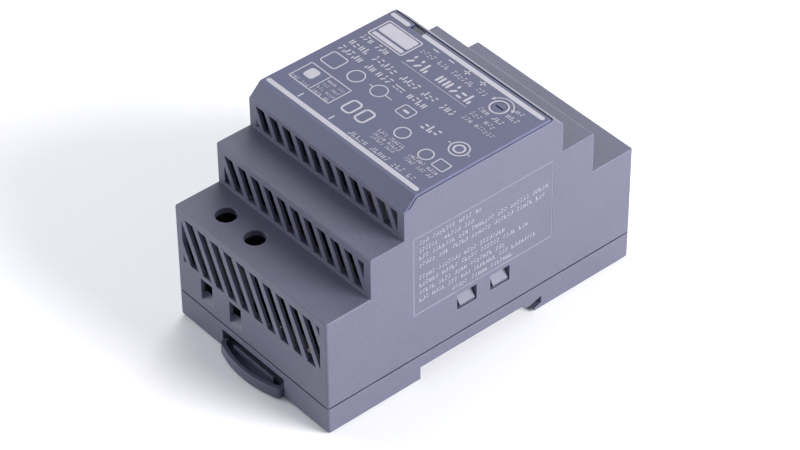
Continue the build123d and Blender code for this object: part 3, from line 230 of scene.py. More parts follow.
def stroke_outlines(starts, ends, half, steps=3):
    """Outlines of round ended strokes: half circles about both ends, joined by their sides."""
    starts, ends = np.asarray(starts, float), np.asarray(ends, float)
    run = ends - starts
    heading = np.arctan2(run[:, 1], run[:, 0])[:, None]
    turn = np.linspace(-pi / 2, pi / 2, steps)[None, :]
    half = np.broadcast_to(np.asarray(half, float), (len(starts),))[:, None, None]
    near = np.stack([np.cos(heading + pi + turn), np.sin(heading + pi + turn)], -1)
    far = np.stack([np.cos(heading + turn), np.sin(heading + turn)], -1)
    return np.concatenate([ends[:, None, :] + half * far, starts[:, None, :] + half * near], 1)


def film(outlines, low, high):
    """Closed plates: each outline at the low level and again at the high level, with sides."""
    outlines = np.asarray(outlines, float)
    plates, count = outlines.shape[:2]
    levels = np.array([low, high])
    points = np.empty((plates, 2, count, 3))
    points[..., :2] = outlines[:, None, :, :]
    points[..., 2] = levels[None, :, None]
    start = (np.arange(plates) * 2 * count)[:, None]
    corner = np.arange(count)[None, :]
    following = (corner + 1) % count
    sides = np.stack([start + corner, start + following, start + count + following,
                      start + count + corner], -1).reshape(-1, 4).tolist()
    floors = (start + corner[:, ::-1]).tolist()
    roofs = (start + count + corner).tolist()
    return points.reshape(-1, 3), sides + floors + roofs


def frame_film(outer, inner, low, high):
    """Closed flat frame: ring surface through outer low, outer high, inner high, inner low."""
    loops = np.stack([outer, outer, inner, inner], 1)
    heights = np.array([low, high, high, low])
    points = np.concatenate([loops, np.broadcast_to(heights[None, :, None],
                                                    loops.shape[:2] + (1,))], -1)
    faces = grid_faces(len(outer), 4, True)
    return points.reshape(-1, 3), [face[::-1] for face in faces]


def outline_frame(make, line, low, high, *size):
    """Frame between an outline and the same outline drawn smaller by the line's width."""
    return frame_film(make(*size), make(*shrunk(size, line)), low, high)


LEAST_CORNER = 0.05        # smallest corner left on the inside of a frame


def shrunk(size, line):
    """The sizes of a circle (across, over, radius) or a rounded box, smaller by line."""
    if len(size) == 3:
        return size[0], size[1], size[2] - line
    left, right, low, high, radius = size
    return left + line, right - line, low + line, high - line, max(radius - line, LEAST_CORNER)


# Strokes of one printed cell, as shares of its width and height: pairs of plain bars that
# are no letters.
CELL_SHAPE = 0.78          # a cell's width as a share of its height
FIRST_WORD = (3, 7)        # fewest cells in the row's first word, and one past the most
NEXT_WORDS = (4, 9)        # the same for the other words, each with the gap before it
CELL_BARS = np.array([
    [[0.24, 0.05, 0.24, 0.95], [0.66, 0.05, 0.66, 0.34]],
    [[0.24, 0.05, 0.24, 0.40], [0.66, 0.22, 0.66, 0.95]],
    [[0.14, 0.10, 0.62, 0.10], [0.26, 0.60, 0.74, 0.60]],
    [[0.22, 0.12, 0.22, 0.80], [0.66, 0.12, 0.66, 0.80]],
    [[0.20, 0.90, 0.72, 0.90], [0.20, 0.10, 0.50, 0.48]],
    [[0.30, 0.05, 0.64, 0.44], [0.44, 0.76, 0.44, 0.95]],
    [[0.18, 0.34, 0.58, 0.34], [0.34, 0.86, 0.74, 0.86]],
])


def printed_words(left, right, low, high, weight, draw):
    """Stroke ends for a row of words: cells of two bars each, with gaps between the words."""
    tall = high - low
    cell = CELL_SHAPE * tall
    count = max(1, int(round((right - left) / cell)))
    pitch = (right - left) / count
    kind = draw.integers(0, len(CELL_BARS), count)
    shown = np.ones(count, bool)
    place = int(draw.integers(*FIRST_WORD))
    while place < count - 2:
        shown[place] = False
        place += int(draw.integers(*NEXT_WORDS))
    bars = CELL_BARS[kind[shown]]
    corner = (left + pitch * np.arange(count))[shown][:, None]
    across = corner[:, :, None] + bars[..., [0, 2]] * pitch
    over = low + bars[..., [1, 3]] * tall
    ends = np.stack([across, over], -1).reshape(-1, 2, 2)
    return ends, np.full(len(ends), weight * tall / 2)


PANEL_WORDS = (      # left, right, low, high, stroke's share of the height
    (-10.7, 10.9, 9.0, 12.0, 0.20),
    (-10.8, 11.0, 13.4, 14.9, 0.13),
    (-23.8, -14.6, 6.7, 8.5, 0.16),
    (-23.9, -8.0, 3.5, 5.5, 0.17),
    (-6.5, -0.6, 3.5, 5.5, 0.17),
    (0.8, 11.3, 3.5, 5.5, 0.17),
    (-23.9, -11.7, 0.4, 2.4, 0.17),
    (-11.1, -6.1, 0.4, 2.4, 0.17),
    (-0.6, 5.4, 0.4, 2.4, 0.17),
    (9.2, 14.5, -3.9, -1.4, 0.18),
    (4.3, 12.8, -11.8, -10.8, 0.15),
    (4.3, 12.8, -13.1, -12.1, 0.15),
    (4.8, 12.3, -14.3, -13.4, 0.15),
    (15.0, 24.1, -12.3, -11.2, 0.15),
    (15.0, 24.1, -13.8, -12.7, 0.15),
    (0.6, 22.2, -17.2, -15.7, 0.13),
    (19.2, 21.7, 14.7, 16.0, 0.15),
    (18.8, 22.7, 12.2, 13.7, 0.15),
    (12.8, 20.8, 9.4, 10.8, 0.14),
    (12.8, 20.7, 7.1, 8.5, 0.14),
    (12.8, 22.7, 4.9, 6.2, 0.14),
    (-23.2, -17.4, -13.6, -12.6, 0.15),
    (-16.1, -10.4, -13.6, -12.6, 0.15),
    (-16.1, -10.4, -9.0, -8.1, 0.15),
    (-16.1, -10.4, -10.5, -9.6, 0.15),
    (-16.1, -10.4, -12.0, -11.1, 0.15),
)
PANEL_STROKES = (    # start across, start over, end across, end over, half width
    (-24.9, -18.2, 24.7, -18.2, 0.62),      # near stripe
    (-24.9, 17.95, -19.9, 17.95, 0.62),     # far stripe left of the light
    (-14.2, 17.95, 24.7, 17.95, 0.62),      # far stripe right of the light
    (-10.7, 8.1, 10.9, 8.1, 0.06),          # thin rule under the heading
    (-9.3, 16.4, -7.7, 16.4, 0.16),         # minus marks
    (-4.1, 16.4, -2.5, 16.4, 0.16),
    (1.2, 16.4, 2.8, 16.4, 0.16),           # plus marks
    (2.0, 15.7, 2.0, 17.1, 0.16),
    (6.4, 16.4, 8.0, 16.4, 0.16),
    (7.2, 15.7, 7.2, 17.1, 0.16),
    (-5.2, 1.8, -2.2, 1.8, 0.13),           # direct current mark: line over dashes
    (-5.2, 0.9, -4.6, 0.9, 0.13),
    (-4.0, 0.9, -3.4, 0.9, 0.13),
    (-2.8, 0.9, -2.2, 0.9, 0.13),
    (-9.0, -2.5, -8.1, -2.5, 0.12),         # line through the ring mark
    (-3.7, -2.5, -1.7, -2.5, 0.12),
    (-16.2, -17.0, -16.2, -15.6, 0.18),     # terminal ticks
    (-5.7, -17.0, -5.7, -15.6, 0.18),
    (17.3, -2.5, 17.9, -2.5, 0.12),
    (23.4, -2.5, 24.0, -2.5, 0.12),
    (-16.7, -13.3, -16.7, -7.4, 0.12),      # divider of the small table
)
PANEL_RINGS = (      # across, over, radius, line
    (-13.2, -2.9, 2.2, 0.32),
    (-5.9, -2.5, 2.15, 0.28),
    (20.7, -2.5, 2.5, 0.32),
    (20.7, -2.5, 1.5, 0.45),
    (8.5, -8.1, 2.0, 0.32),
    (17.4, -9.1, 1.9, 0.32),
    (15.7, 13.5, 2.35, 0.38),               # ring round the trimmer
)
PANEL_BOXES = (      # left, right, low, high, corner, line
    (-23.4, -18.2, -5.3, -0.5, 0.9, 0.30),
    (1.4, 5.6, -4.6, -0.9, 0.8, 0.26),
    (-23.6, -9.8, -13.9, -6.9, 0.4, 0.26),
    (20.4, 24.2, -10.6, -7.4, 0.5, 0.28),
    (-7.3, -3.9, -13.0, -8.2, 1.2, 0.50),   # two plain rounded frames
    (-2.9, 0.5, -13.0, -8.2, 1.2, 0.50),
    (-23.8, -12.1, 9.1, 16.0, 0.6, 0.34),
)
PANEL_BLOCKS = (     # filled, rounded: left, right, low, high, corner
    (-23.0, -12.9, 11.6, 15.3, 0.5),
    (-23.0, -12.9, 9.8, 10.9, 0.3),
    (-21.9, -18.9, -11.3, -8.0, 0.8),
    (2.6, 4.4, -3.1, -2.4, 0.3),
)
TRIMMER_ARROW = dict(across=15.7, over=13.5, radius=3.3, start=25.0, end=155.0, half=0.13,
                     head_half=0.5, head_overlap=0.2, head_reach=1.1)

SIDE_WORDS = (       # nearest, farthest, low and high above the underside, stroke's share
    (-18.8, -0.7, 39.7, 40.9, 0.13),
    (-18.8, -13.4, 37.5, 38.7, 0.13),
    (-11.6, -2.9, 37.5, 38.7, 0.13),
    (-18.8, 19.0, 35.5, 36.7, 0.13),
    (-18.8, 18.1, 33.4, 34.6, 0.13),
    (-18.8, 6.2, 29.8, 31.0, 0.13),
    (-18.8, 13.1, 27.7, 28.9, 0.13),
    (-18.8, 6.2, 25.5, 26.7, 0.13),
    (-18.8, 15.6, 23.4, 24.6, 0.13),
    (-9.3, -4.8, 21.3, 22.5, 0.13),
    (-3.5, 8.5, 21.3, 22.5, 0.13),
)
SIDE_FRAME = (-20.3, 20.3, 20.4, 42.2, 0.3)
SIDE_RULE = 0.06


def word_film(rows, low, high, draw):
    """All the words of a printed face as closed strokes."""
    ends, halves = zip(*[printed_words(*row, draw) for row in rows])
    ends, halves = np.concatenate(ends), np.concatenate(halves)
    return film(stroke_outlines(ends[:, 0], ends[:, 1], halves), low, high)


def panel_film(low, high, draw):
    """Everything printed on the front panel, in the panel's own across and over."""
    strokes = np.array(PANEL_STROKES)
    shapes = [word_film(PANEL_WORDS, low, high, draw)]
    ends = stroke_outlines(strokes[:, :2], strokes[:, 2:4], strokes[:, 4], steps=7)
    shapes.append(film(ends, low, high))
    for across, over, radius, line in PANEL_RINGS:
        shapes.append(outline_frame(circle, line, low, high, across, over, radius))
    for *size, line in PANEL_BOXES:
        shapes.append(outline_frame(rounded_box, line, low, high, *size))
    for size in PANEL_BLOCKS:
        shapes.append(film(rounded_box(*size)[None], low, high))
    shapes.append(arrow_film(low, high))
    return joined(shapes)


def arrow_film(low, high):
    """Arc over the trimmer: a strip between two radii, with a pointed end at each side."""
    arc = TRIMMER_ARROW
    angle = np.radians(np.linspace(arc["start"], arc["end"], 25))
    spoke = np.stack([np.cos(angle), np.sin(angle)], -1)
    centre = np.array([arc["across"], arc["over"]])
    outer = centre + spoke * (arc["radius"] + arc["half"])
    inner = centre + spoke * (arc["radius"] - arc["half"])
    body = np.concatenate([outer, inner[::-1]])
    heads = []
    for end, turn in ((0, -1.0), (-1, 1.0)):
        tangent = turn * np.array([-spoke[end, 1], spoke[end, 0]])
        base = centre + spoke[end] * arc["radius"] - tangent * arc["head_overlap"]
        side = spoke[end] * arc["head_half"]
        head = np.array([base + side, base + tangent * arc["head_reach"], base - side])
        heads.append(head if turn > 0 else head[::-1])
    return joined([film(body[None], low, high), film(np.array(heads), low, high)])


# ---- node materials ------------------------------------------------------------------------
def add(tree, kind, sockets=None, **settings):
    """Adds one shader node, sets its settings, and fills or links its sockets."""
    made = tree.nodes.new("ShaderNode" + kind)
    for name, value in settings.items():
        setattr(made, name, value)
    for socket, value in (sockets or {}).items():
        if isinstance(value, bpy.types.NodeSocket):
            tree.links.new(value, made.inputs[socket])
        else:
            made.inputs[socket].default_value = value
    return made


def per_mm(size):
    """Texture scale that gives features of this many millimetres on metre coordinates."""
    return 1.0 / (size * MM)


def rgba(colour, gain=1.0):
    """Colour with an opaque alpha, brightened or darkened by a gain."""
    return tuple(min(1.0, part * gain) for part in colour) + (1.0,)


MIX_FACTOR, MIX_A, MIX_B, MIX_OUT = 0, 6, 7, 2     # colour sockets of the Mix node
WAVE_RADIANS = 20.0        # a wave texture's sine runs through this many over a unit
DRAWN = 30.0               # drawn lines are this many times longer than wide


def pattern(tree, coordinates, kind, size):
    """Height field of a finish, 0 to 1, from its kind and the real size of its features."""
    scale = per_mm(size)
    if kind == "cells":      # crystals, sintered powder
        made = add(tree, "TexVoronoi", {"Vector": coordinates, "Scale": scale})
        return made.outputs["Distance"]
    if kind == "weave":      # crossed glass yarns: the product of two sine bands, size a radian
        bands = [add(tree, "TexWave", {"Vector": coordinates, "Scale": scale / WAVE_RADIANS,
                                       "Distortion": 0.6}, bands_direction=way)
                 for way in ("X", "Y")]
        made = add(tree, "Math", {0: bands[0].outputs["Fac"], 1: bands[1].outputs["Fac"]},
                   operation="MULTIPLY")
        return made.outputs[0]
    if kind.startswith("drawn along "):
        # scratches of rolling or drawing: noise stretched along one axis
        stretch = [1.0, 1.0, 1.0]
        stretch["xyz".index(kind[-1])] = 1.0 / DRAWN
        moved = add(tree, "Mapping", {"Vector": coordinates, "Scale": stretch})
        coordinates = moved.outputs[0]
    made = add(tree, "TexNoise", {"Vector": coordinates, "Scale": scale, "Detail": 3.0,
                                  "Roughness": 0.6})
    return made.outputs["Fac"]


def finish(name, colour, grain, kind="noise", deep=0.02, rough=(0.4, 0.5), mottle=0.08,
           patch=9.0, speck=0.0, edge=0.0, edge_highlight_gain=1.6, metallic=0.0, ior=None, coat=0.0,
           clear=0.0, specular=0.5):
    """Builds one material from its real surface.

    colour is linear. grain is the width of the finish's features and deep their height, patch
    the width of the slow drift in tone and mottle how strong it is. speck paints glints, bright
    points on the grain's tops, and edge is the reach of a painted highlight along the edges and
    of their rounded normals.
    """
    material = bpy.data.materials.new(name)
    material.use_nodes = True
    tree = material.node_tree
    tree.nodes.clear()
    coordinates = add(tree, "TexCoord").outputs["Object"]
    drift = add(tree, "TexNoise", {"Vector": coordinates, "Scale": per_mm(patch),
                                   "Detail": 2.0}).outputs["Fac"]
    height = pattern(tree, coordinates, kind, grain)
    shade = add(tree, "Mix", {MIX_FACTOR: drift, MIX_A: rgba(colour, 1.0 - mottle),
                              MIX_B: rgba(colour, 1.0 + mottle)}, data_type="RGBA")
    tint = shade.outputs[MIX_OUT]
    fine = add(tree, "MapRange", {"Value": height, "From Min": 0.35, "From Max": 0.65,
                                  "To Min": 1.0 - 1.5 * mottle, "To Max": 1.0 + 1.5 * mottle})
    grained = add(tree, "VectorMath", {0: tint, "Scale": fine.outputs["Result"]},
                  operation="SCALE")
    tint = grained.outputs[0]
    # Painted glints: the highest tops of the grain take a colour 2.2 times brighter, as strong as
    # speck says.
    if speck > 0.0:
        bright = add(tree, "MapRange", {"Value": height, "From Min": 0.62, "From Max": 0.72,
                                        "To Min": 0.0, "To Max": speck})
        lit = add(tree, "Mix", {MIX_FACTOR: bright.outputs["Result"], MIX_A: tint,
                                MIX_B: rgba(colour, 2.2)}, data_type="RGBA")
        tint = lit.outputs[MIX_OUT]
    sockets = {"Roughness": add(tree, "MapRange", {"Value": height, "From Min": 0.3,
                                                   "From Max": 0.7, "To Min": rough[0],
                                                   "To Max": rough[1]}).outputs["Result"]}
    bump = {"Height": height, "Distance": deep * MM, "Strength": 1.0}
    # Painted highlight along the edges: where the bevelled normal turns from the flat one, the
    # colour is brightened by the edge gain, more where the slow drift is high. The bevelled
    # normal also rounds the edges for the bump.
    if edge > 0.0:
        rounded = add(tree, "Bevel", {"Radius": edge * MM}, samples=4).outputs["Normal"]
        flat = add(tree, "NewGeometry").outputs["Normal"]
        match = add(tree, "VectorMath", {0: rounded, 1: flat}, operation="DOT_PRODUCT")
        edge_highlight_mask = add(tree, "MapRange", {"Value": match.outputs["Value"], "From Min": 0.995,
                                        "From Max": 0.86, "To Min": 0.0, "To Max": 1.0})
        edge_highlight_drift = add(tree, "MapRange", {"Value": drift, "From Min": 0.3, "From Max": 0.6,
                                       "To Min": 0.45, "To Max": 1.0})
        painted_edge_highlight = add(tree, "Math", {0: edge_highlight_mask.outputs["Result"], 1: edge_highlight_drift.outputs["Result"]},
                   operation="MULTIPLY")
        tinted = add(tree, "Mix", {MIX_FACTOR: painted_edge_highlight.outputs[0], MIX_A: tint,
                                   MIX_B: rgba(colour, edge_highlight_gain)}, data_type="RGBA")
        tint = tinted.outputs[MIX_OUT]
        bump["Normal"] = rounded
    sockets["Base Color"] = tint
    sockets["Normal"] = add(tree, "Bump", bump).outputs["Normal"]
    sockets["Metallic"] = metallic
    sockets["Specular IOR Level"] = specular
    sockets["Coat Weight"] = coat
    sockets["Transmission Weight"] = clear
    if ior is not None:
        sockets["IOR"] = ior
    shader = add(tree, "BsdfPrincipled", sockets)
    add(tree, "OutputMaterial", {"Surface": shader.outputs[0]})
    return material


# Finishes of the inner pieces, one for each material slot of the record.
# Where a finish has an edge reach, its edges carry a painted highlight; a speck share paints
# glints on the grain.
INNER_FINISHES = {
    # hardened spring strip, rolled: grey steel with long fine lines across the leaves
    "spring_steel": dict(name="rolled_spring_steel", colour="#a9abae", grain=0.12,
                         kind="drawn along x", deep=0.004, rough=(0.22, 0.38), mottle=0.05,
                         metallic=1.0),
    # smoked acrylic moulded over the status light: dark until it is lit, polished
    "lens_plastic": dict(name="smoked_moulded_acrylic", colour="#1e1f33", grain=0.6, deep=0.003,
                         rough=(0.08, 0.2), mottle=0.05, clear=0.15, ior=1.49),
    # glass filled polyamide, moulded: dull black, with fine painted glints for the fibre ends
    "terminal_plastic": dict(name="moulded_filled_polyamide", colour="#121317", grain=0.3,
                             deep=0.012, rough=(0.6, 0.75), speck=0.1, edge=0.15,
                             specular=0.15),
    # zinc plated steel with a clear passivate: bluish, cloudy crystals
    "zinc_steel": dict(name="zinc_plated_steel", colour="#c3c7cc", grain=0.5, kind="cells",
                       deep=0.004, rough=(0.26, 0.42), mottle=0.07, metallic=1.0, edge=0.12),
    # tinned copper bar: satin, slightly wavy from the dip
    "tinned_copper": dict(name="tinned_copper_bar", colour="#cdcac2", grain=1.1, deep=0.01,
                          rough=(0.25, 0.4), mottle=0.06, metallic=1.0),
    # drawn glass tube with a sand filling behind it
    "fuse_glass": dict(name="sand_filled_glass", colour="#8f8c80", grain=0.35, kind="cells",
                       deep=0.002, rough=(0.05, 0.12), mottle=0.10, clear=0.3, ior=1.52),
    # nickel plated brass caps, pressed: warm grey metal with drawing lines
    "nickel_caps": dict(name="pressed_nickel_brass", colour="#bdb7a6", grain=0.15,
                        kind="drawn along x", deep=0.003, rough=(0.2, 0.32), metallic=1.0,
                        edge=0.15),
    # silicone lacquer over a fired thermistor disc: dull black-green, lumpy
    "thermistor_coat": dict(name="lacquered_thermistor_disc", colour="#23302b", grain=0.7,
                            deep=0.03, rough=(0.4, 0.62), mottle=0.15),
    # dipped epoxy over a varistor disc: deep blue, soft orange-peel skin
    "varistor_coat": dict(name="dipped_blue_epoxy", colour="#1c2c4a", grain=0.9, deep=0.03,
                          rough=(0.25, 0.42), mottle=0.10),
    # polyester film capacitor box, moulded: dull brown, slightly waxy
    "film_case": dict(name="moulded_polyester_box", colour="#4a4234", grain=0.35, deep=0.01,
                      rough=(0.35, 0.5), mottle=0.06, edge=0.3),
    # sintered manganese-zinc ferrite, ground: near black, crystalline sparkle
    "ferrite": dict(name="sintered_ferrite", colour="#2c2b2e", grain=0.25, kind="cells",
                    deep=0.01, rough=(0.35, 0.6), mottle=0.12, edge=0.35),
    # powder coated toroid: green, soft orange peel
    "coated_core": dict(name="powder_coated_ring", colour="#1f3c31", grain=0.5, deep=0.02,
                        rough=(0.4, 0.55), mottle=0.08),
    # enamelled copper wire: orange copper under clear varnish
    "copper_wire": dict(name="enamelled_copper_wire", colour="#b86a3c", grain=0.4, deep=0.004,
                        rough=(0.2, 0.35), mottle=0.10, metallic=1.0, coat=0.6),
    # transfer moulded epoxy packages: flat black, sandy, with painted glints on the sand grains
    "black_epoxy": dict(name="moulded_black_epoxy", colour="#1f2022", grain=0.2, deep=0.012,
                        rough=(0.5, 0.65), mottle=0.10, speck=0.1, edge=0.15),
    # heat shrunk sleeve of a capacitor can: dark, smooth, slightly rippled
    "can_sleeve": dict(name="shrunk_dark_sleeve", colour="#2d2f45", grain=2.2, deep=0.03,
                       rough=(0.22, 0.34), mottle=0.05, edge=0.3),
    # extruded aluminium sheet: bright, long drawing lines
    "aluminium": dict(name="extruded_aluminium", colour="#b9bbbe", grain=0.25,
                      kind="drawn along z", deep=0.008, rough=(0.28, 0.45), mottle=0.04,
                      metallic=1.0, edge=0.15),
    # polyester winding tape, wound in layers: amber film with creases
    "tape_yellow": dict(name="wound_polyester_tape", colour="#6b5a2a", grain=1.4,
                        kind="drawn along x", deep=0.04, rough=(0.18, 0.34), mottle=0.08,
                        coat=0.3),
    # phenolic coil former, moulded: dark brown-black, satin
    "former_plastic": dict(name="moulded_phenolic", colour="#2a2523", grain=0.35, deep=0.015,
                           rough=(0.35, 0.5), mottle=0.10, edge=0.25),
    # glass-epoxy laminate under solder mask: green with the yarns just showing through. Real
    # yarns of about 0.5 mm are drawn as bands of 2 pi times 0.9 mm, so that they show.
    "board_laminate": dict(name="masked_glass_laminate", colour="#1b3a24", grain=0.9,
                           kind="weave", deep=0.008, rough=(0.25, 0.38), mottle=0.07,
                           edge=0.2),
    # lacquered ceramic disc: brown, glossy and uneven
    "disc_orange": dict(name="lacquered_ceramic_disc", colour="#5e3a22", grain=0.8, deep=0.03,
                        rough=(0.25, 0.42), mottle=0.10),
    # white moulded epoxy: chalky, faint grain
    "white_epoxy": dict(name="moulded_white_epoxy", colour="#d8d6ce", grain=0.3, deep=0.01,
                        rough=(0.45, 0.6), mottle=0.04, edge=0.15),
    # cast body of the status light: pale green diffusing resin
    "light_body": dict(name="cast_diffusing_resin", colour="#b9d8ae", grain=0.4, deep=0.004,
                       rough=(0.12, 0.25), mottle=0.05, clear=0.3, ior=1.5),
    # polyamide rotor and body of the trimmer: satin grey
    "trimmer_blue": dict(name="moulded_grey_polyamide", colour="#8a8b9c", grain=0.3,
                         deep=0.01, rough=(0.35, 0.5), mottle=0.05, edge=0.12),
}


def casing_finishes():
    """The three moulded plastics that show from outside, from the casing's settings.

    Spark eroded mould texture: shallow round grains, with painted glints on a few of them and a
    painted highlight along the edges. The real grit of about 0.1 mm is drawn coarser so that it
    shows.
    """
    look = bpy.context.scene.supply_casing
    # The specks paint glints on the grain, and the edge gain of 3 paints a bright highlight along
    # the edges.
    case = dict(grain=look.grain, deep=0.05, rough=(0.42, 0.60), mottle=0.06, patch=14.0,
                speck=0.35, edge=look.edge, edge_highlight_gain=3.0, specular=0.5)
    panel = dict(case, deep=0.016, speck=0.10, mottle=0.03, rough=(0.40, 0.52), specular=0.4)
    return {
        "case_plastic": finish("moulded_grained_polycarbonate", tuple(look.case_colour), **case),
        "panel_plastic": finish("pressed_panel_polycarbonate", tuple(look.panel_colour),
                                **panel),
        "latch_plastic": finish("moulded_latch_polyamide", tuple(look.latch_colour),
                                **dict(case, speck=0.12)),
    }


def ink_finish(name, colour):
    """Pad printed ink: a thin pale film, almost matt, a little uneven where it was wiped."""
    return finish(name, tuple(colour), grain=0.35, deep=0.003, rough=(0.45, 0.6), mottle=0.05,
                  patch=3.0)


def dress(slot, material):
    """Gives a finish to every CAD node that takes this slot in the record."""
    for part in frame["record"]["subparts"]:
        if part["material_slot"] == slot:
            mesh = frame["nodes"][part["node"]].data
            mesh.materials.clear()
            mesh.materials.append(material)


# ---- wound pieces and the spring -------------------------------------------------------------
WIRE_GAP = 0.06            # air between the choke's wire and its ring
COIL_GAP = 0.05            # air between the output choke's wire and its core
WIRE_STEP = 0.55           # spacing of points along a wire, as a share of its thickness
TURN_POINTS = 28           # points worked out along one turn of the choke
COIL_POINTS = 32           # the same for the output choke
LEAF_POINTS = 8            # points along one leaf of the spring
BEND_POINTS = 12           # the same for one of its bends
CHOKE = dict(x=-12.0, y=-26.0, radius=8.0, bore=4.4, thickness=5.0, sector=60.0, turns=13)
OUTPUT_COIL = dict(x=17.6, y=37.0, core=2.4, low=9.0, high=15.6, turns=6)
SPRING = dict(start=-34.9, end=-26.1, half=4.5, low=-2.45, high=-1.25, waves=2,
              edge=0.12)


def choke_coil(side, wire, centre_z):
    """Wire round a ring: P(t) = ring centre + R(t) * (cos b, sin b) with Y = Y(t).

    b runs across the coil's sector. R and Y go round a rounded box that encloses the ring's
    section, once for each turn, so the wire lies flat on the ring's inside and outside.
    """
    data = CHOKE
    t = np.linspace(0.0, 1.0, data["turns"] * TURN_POINTS + 1)
    turn = 2 * pi * data["turns"] * t
    middle = (data["radius"] + data["bore"]) / 2
    half_radial = (data["radius"] - data["bore"]) / 2 + wire / 2 + WIRE_GAP
    half_width = data["thickness"] / 2 + wire / 2 + WIRE_GAP
    power = 0.32     # below 1 squares the circle: sign(c) * |c| ** power
    cosine, sine = np.cos(turn), np.sin(turn)
    radial = middle + half_radial * np.sign(cosine) * np.abs(cosine) ** power
    width = half_width * np.sign(sine) * np.abs(sine) ** power
    facing = 0.0 if side > 0 else pi
    angle = facing + np.radians(data["sector"]) * (2 * t - 1)
    path = np.stack([data["x"] + radial * np.cos(angle), data["y"] + width,
                     centre_z + radial * np.sin(angle)], -1)
    return wire_shape(path, wire, np.array([data["x"], 0.0, centre_z]))


def wire_shape(path, wire, centre):
    """Round wire round a ring with its axis along Y through centre, in even steps.

    The wire's up direction runs round the ring, across every turn, so it never lies along the
    wire.
    """
    path = np.asarray(path, float)
    step = np.linalg.norm(np.diff(path, axis=0), axis=1)
    far = np.concatenate([[0.0], np.cumsum(step)])
    even = np.linspace(0.0, far[-1], int(far[-1] / (WIRE_STEP * wire)))
    path = np.stack([np.interp(even, far, path[:, axis]) for axis in range(3)], -1)
    around = np.cross(path - centre, (0.0, 1.0, 0.0))
    return swept(path, around, round_section(wire / 2, 8))


def output_coil(wire):
    """Helix: P(t) = centre + r (cos 2 pi n t, sin 2 pi n t), z rising evenly."""
    data = OUTPUT_COIL
    t = np.linspace(0.0, 1.0, data["turns"] * COIL_POINTS + 1)
    turn = 2 * pi * data["turns"] * t
    radius = data["core"] + wire / 2 + COIL_GAP
    path = np.stack([data["x"] + radius * np.cos(turn), data["y"] + radius * np.sin(turn),
                     data["low"] + (data["high"] - data["low"]) * t], -1)
    return swept(path, (0.0, 0.0, 1.0), round_section(wire / 2, 10))


def spring_strip(leaf):
    """Serpentine strip: straight leaves joined by half circles.

    Leaf n lies across at y = start + leaf / 2 + n * pitch. Half circles of radius pitch / 2 join
    each leaf to the next, by turns on the one side and on the other. The section is a flat
    strip standing upright.
    """
    data = SPRING
    bends = 2 * data["waves"]
    pitch = (data["end"] - data["start"] - leaf) / bends
    straight = data["half"] - (pitch + leaf) / 2
    paths = []
    for number in range(bends + 1):
        y = data["start"] + leaf / 2 + number * pitch
        side = 1.0 if number % 2 == 0 else -1.0
        line = side * np.linspace(-straight, straight, LEAF_POINTS)
        paths.append(np.stack([line, np.full(LEAF_POINTS, y)], -1))
        if number < bends:
            turn = np.linspace(-pi / 2, pi / 2, BEND_POINTS)[1:-1]
            paths.append(np.stack([side * (straight + pitch / 2 * np.cos(turn)),
                                   y + pitch / 2 + pitch / 2 * np.sin(turn)], -1))
    flat = np.concatenate(paths)
    middle = (data["low"] + data["high"]) / 2
    path = np.column_stack([flat, np.full(len(flat), middle)])
    section = rounded_box(-leaf / 2, leaf / 2, data["low"] - middle, data["high"] - middle,
                          data["edge"], 3)
    return swept(path, (0.0, 0.0, 1.0), section)


# ---- operators -----------------------------------------------------------------------------
class SUPPLY_OT_casing(bpy.types.Operator):
    """Give the cover, base, front panel and latch their moulded finishes."""
    bl_idname = "supply.casing"
    bl_label = "Casing finishes"

    def execute(self, context):
        for slot, material in casing_finishes().items():
            dress(slot, material)
        return {"FINISHED"}


class SUPPLY_OT_inner(bpy.types.Operator):
    """Give the terminals and electronics their finishes."""
    bl_idname = "supply.inner"
    bl_label = "Inner finishes"

    def execute(self, context):
        for slot, recipe in INNER_FINISHES.items():
            recipe = dict(recipe)
            recipe["colour"] = linear(recipe["colour"])
            dress(slot, finish(**recipe))
        return {"FINISHED"}


class SUPPLY_OT_panel_printing(bpy.types.Operator):
    """Print stripes, marks and plain greeked words on the front panel."""
    bl_idname = "supply.panel_printing"
    bl_label = "Panel printing"

    def execute(self, context):
        ink = context.scene.supply_print
        draw = np.random.default_rng(ink.seed)
        low = PANEL_FACE + INK_GAP
        shape = panel_film(low, low + ink.ink_film, draw)
        material = ink_finish("pad_printed_pale_ink", ink.ink_colour)
        put_piece("panel_printing", shape, material)
        return {"FINISHED"}


class SUPPLY_OT_side_printing(bpy.types.Operator):
    """Print plain greeked words in the side wall's field."""
    bl_idname = "supply.side_printing"
    bl_label = "Side printing"

    def execute(self, context):
        ink = context.scene.supply_print
        draw = np.random.default_rng(ink.seed + 1)
        low = SIDE_FIELD + INK_GAP
        words = word_film(SIDE_WORDS, low, low + ink.ink_film, draw)
        rule = outline_frame(rounded_box, SIDE_RULE, low, low + ink.ink_film, *SIDE_FRAME)
        points, faces = joined([words, rule])
        turned = np.stack([points[:, 2], points[:, 0], points[:, 1] + UNDERSIDE], -1)
        material = ink_finish("pad_printed_thin_ink", ink.side_ink_colour)
        put_piece("side_printing", (turned, faces), material)
        return {"FINISHED"}


class SUPPLY_OT_spring(bpy.types.Operator):
    """Bend the latch's serpentine spring."""
    bl_idname = "supply.spring"
    bl_label = "Latch spring"

    def execute(self, context):
        steel = frame["nodes"]["latch_spring"].data.materials[0]
        leaf = context.scene.supply_wiring.spring_leaf
        piece = put_piece("spring_strip", spring_strip(leaf), steel)
        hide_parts("latch_spring")
        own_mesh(piece)
        return {"FINISHED"}


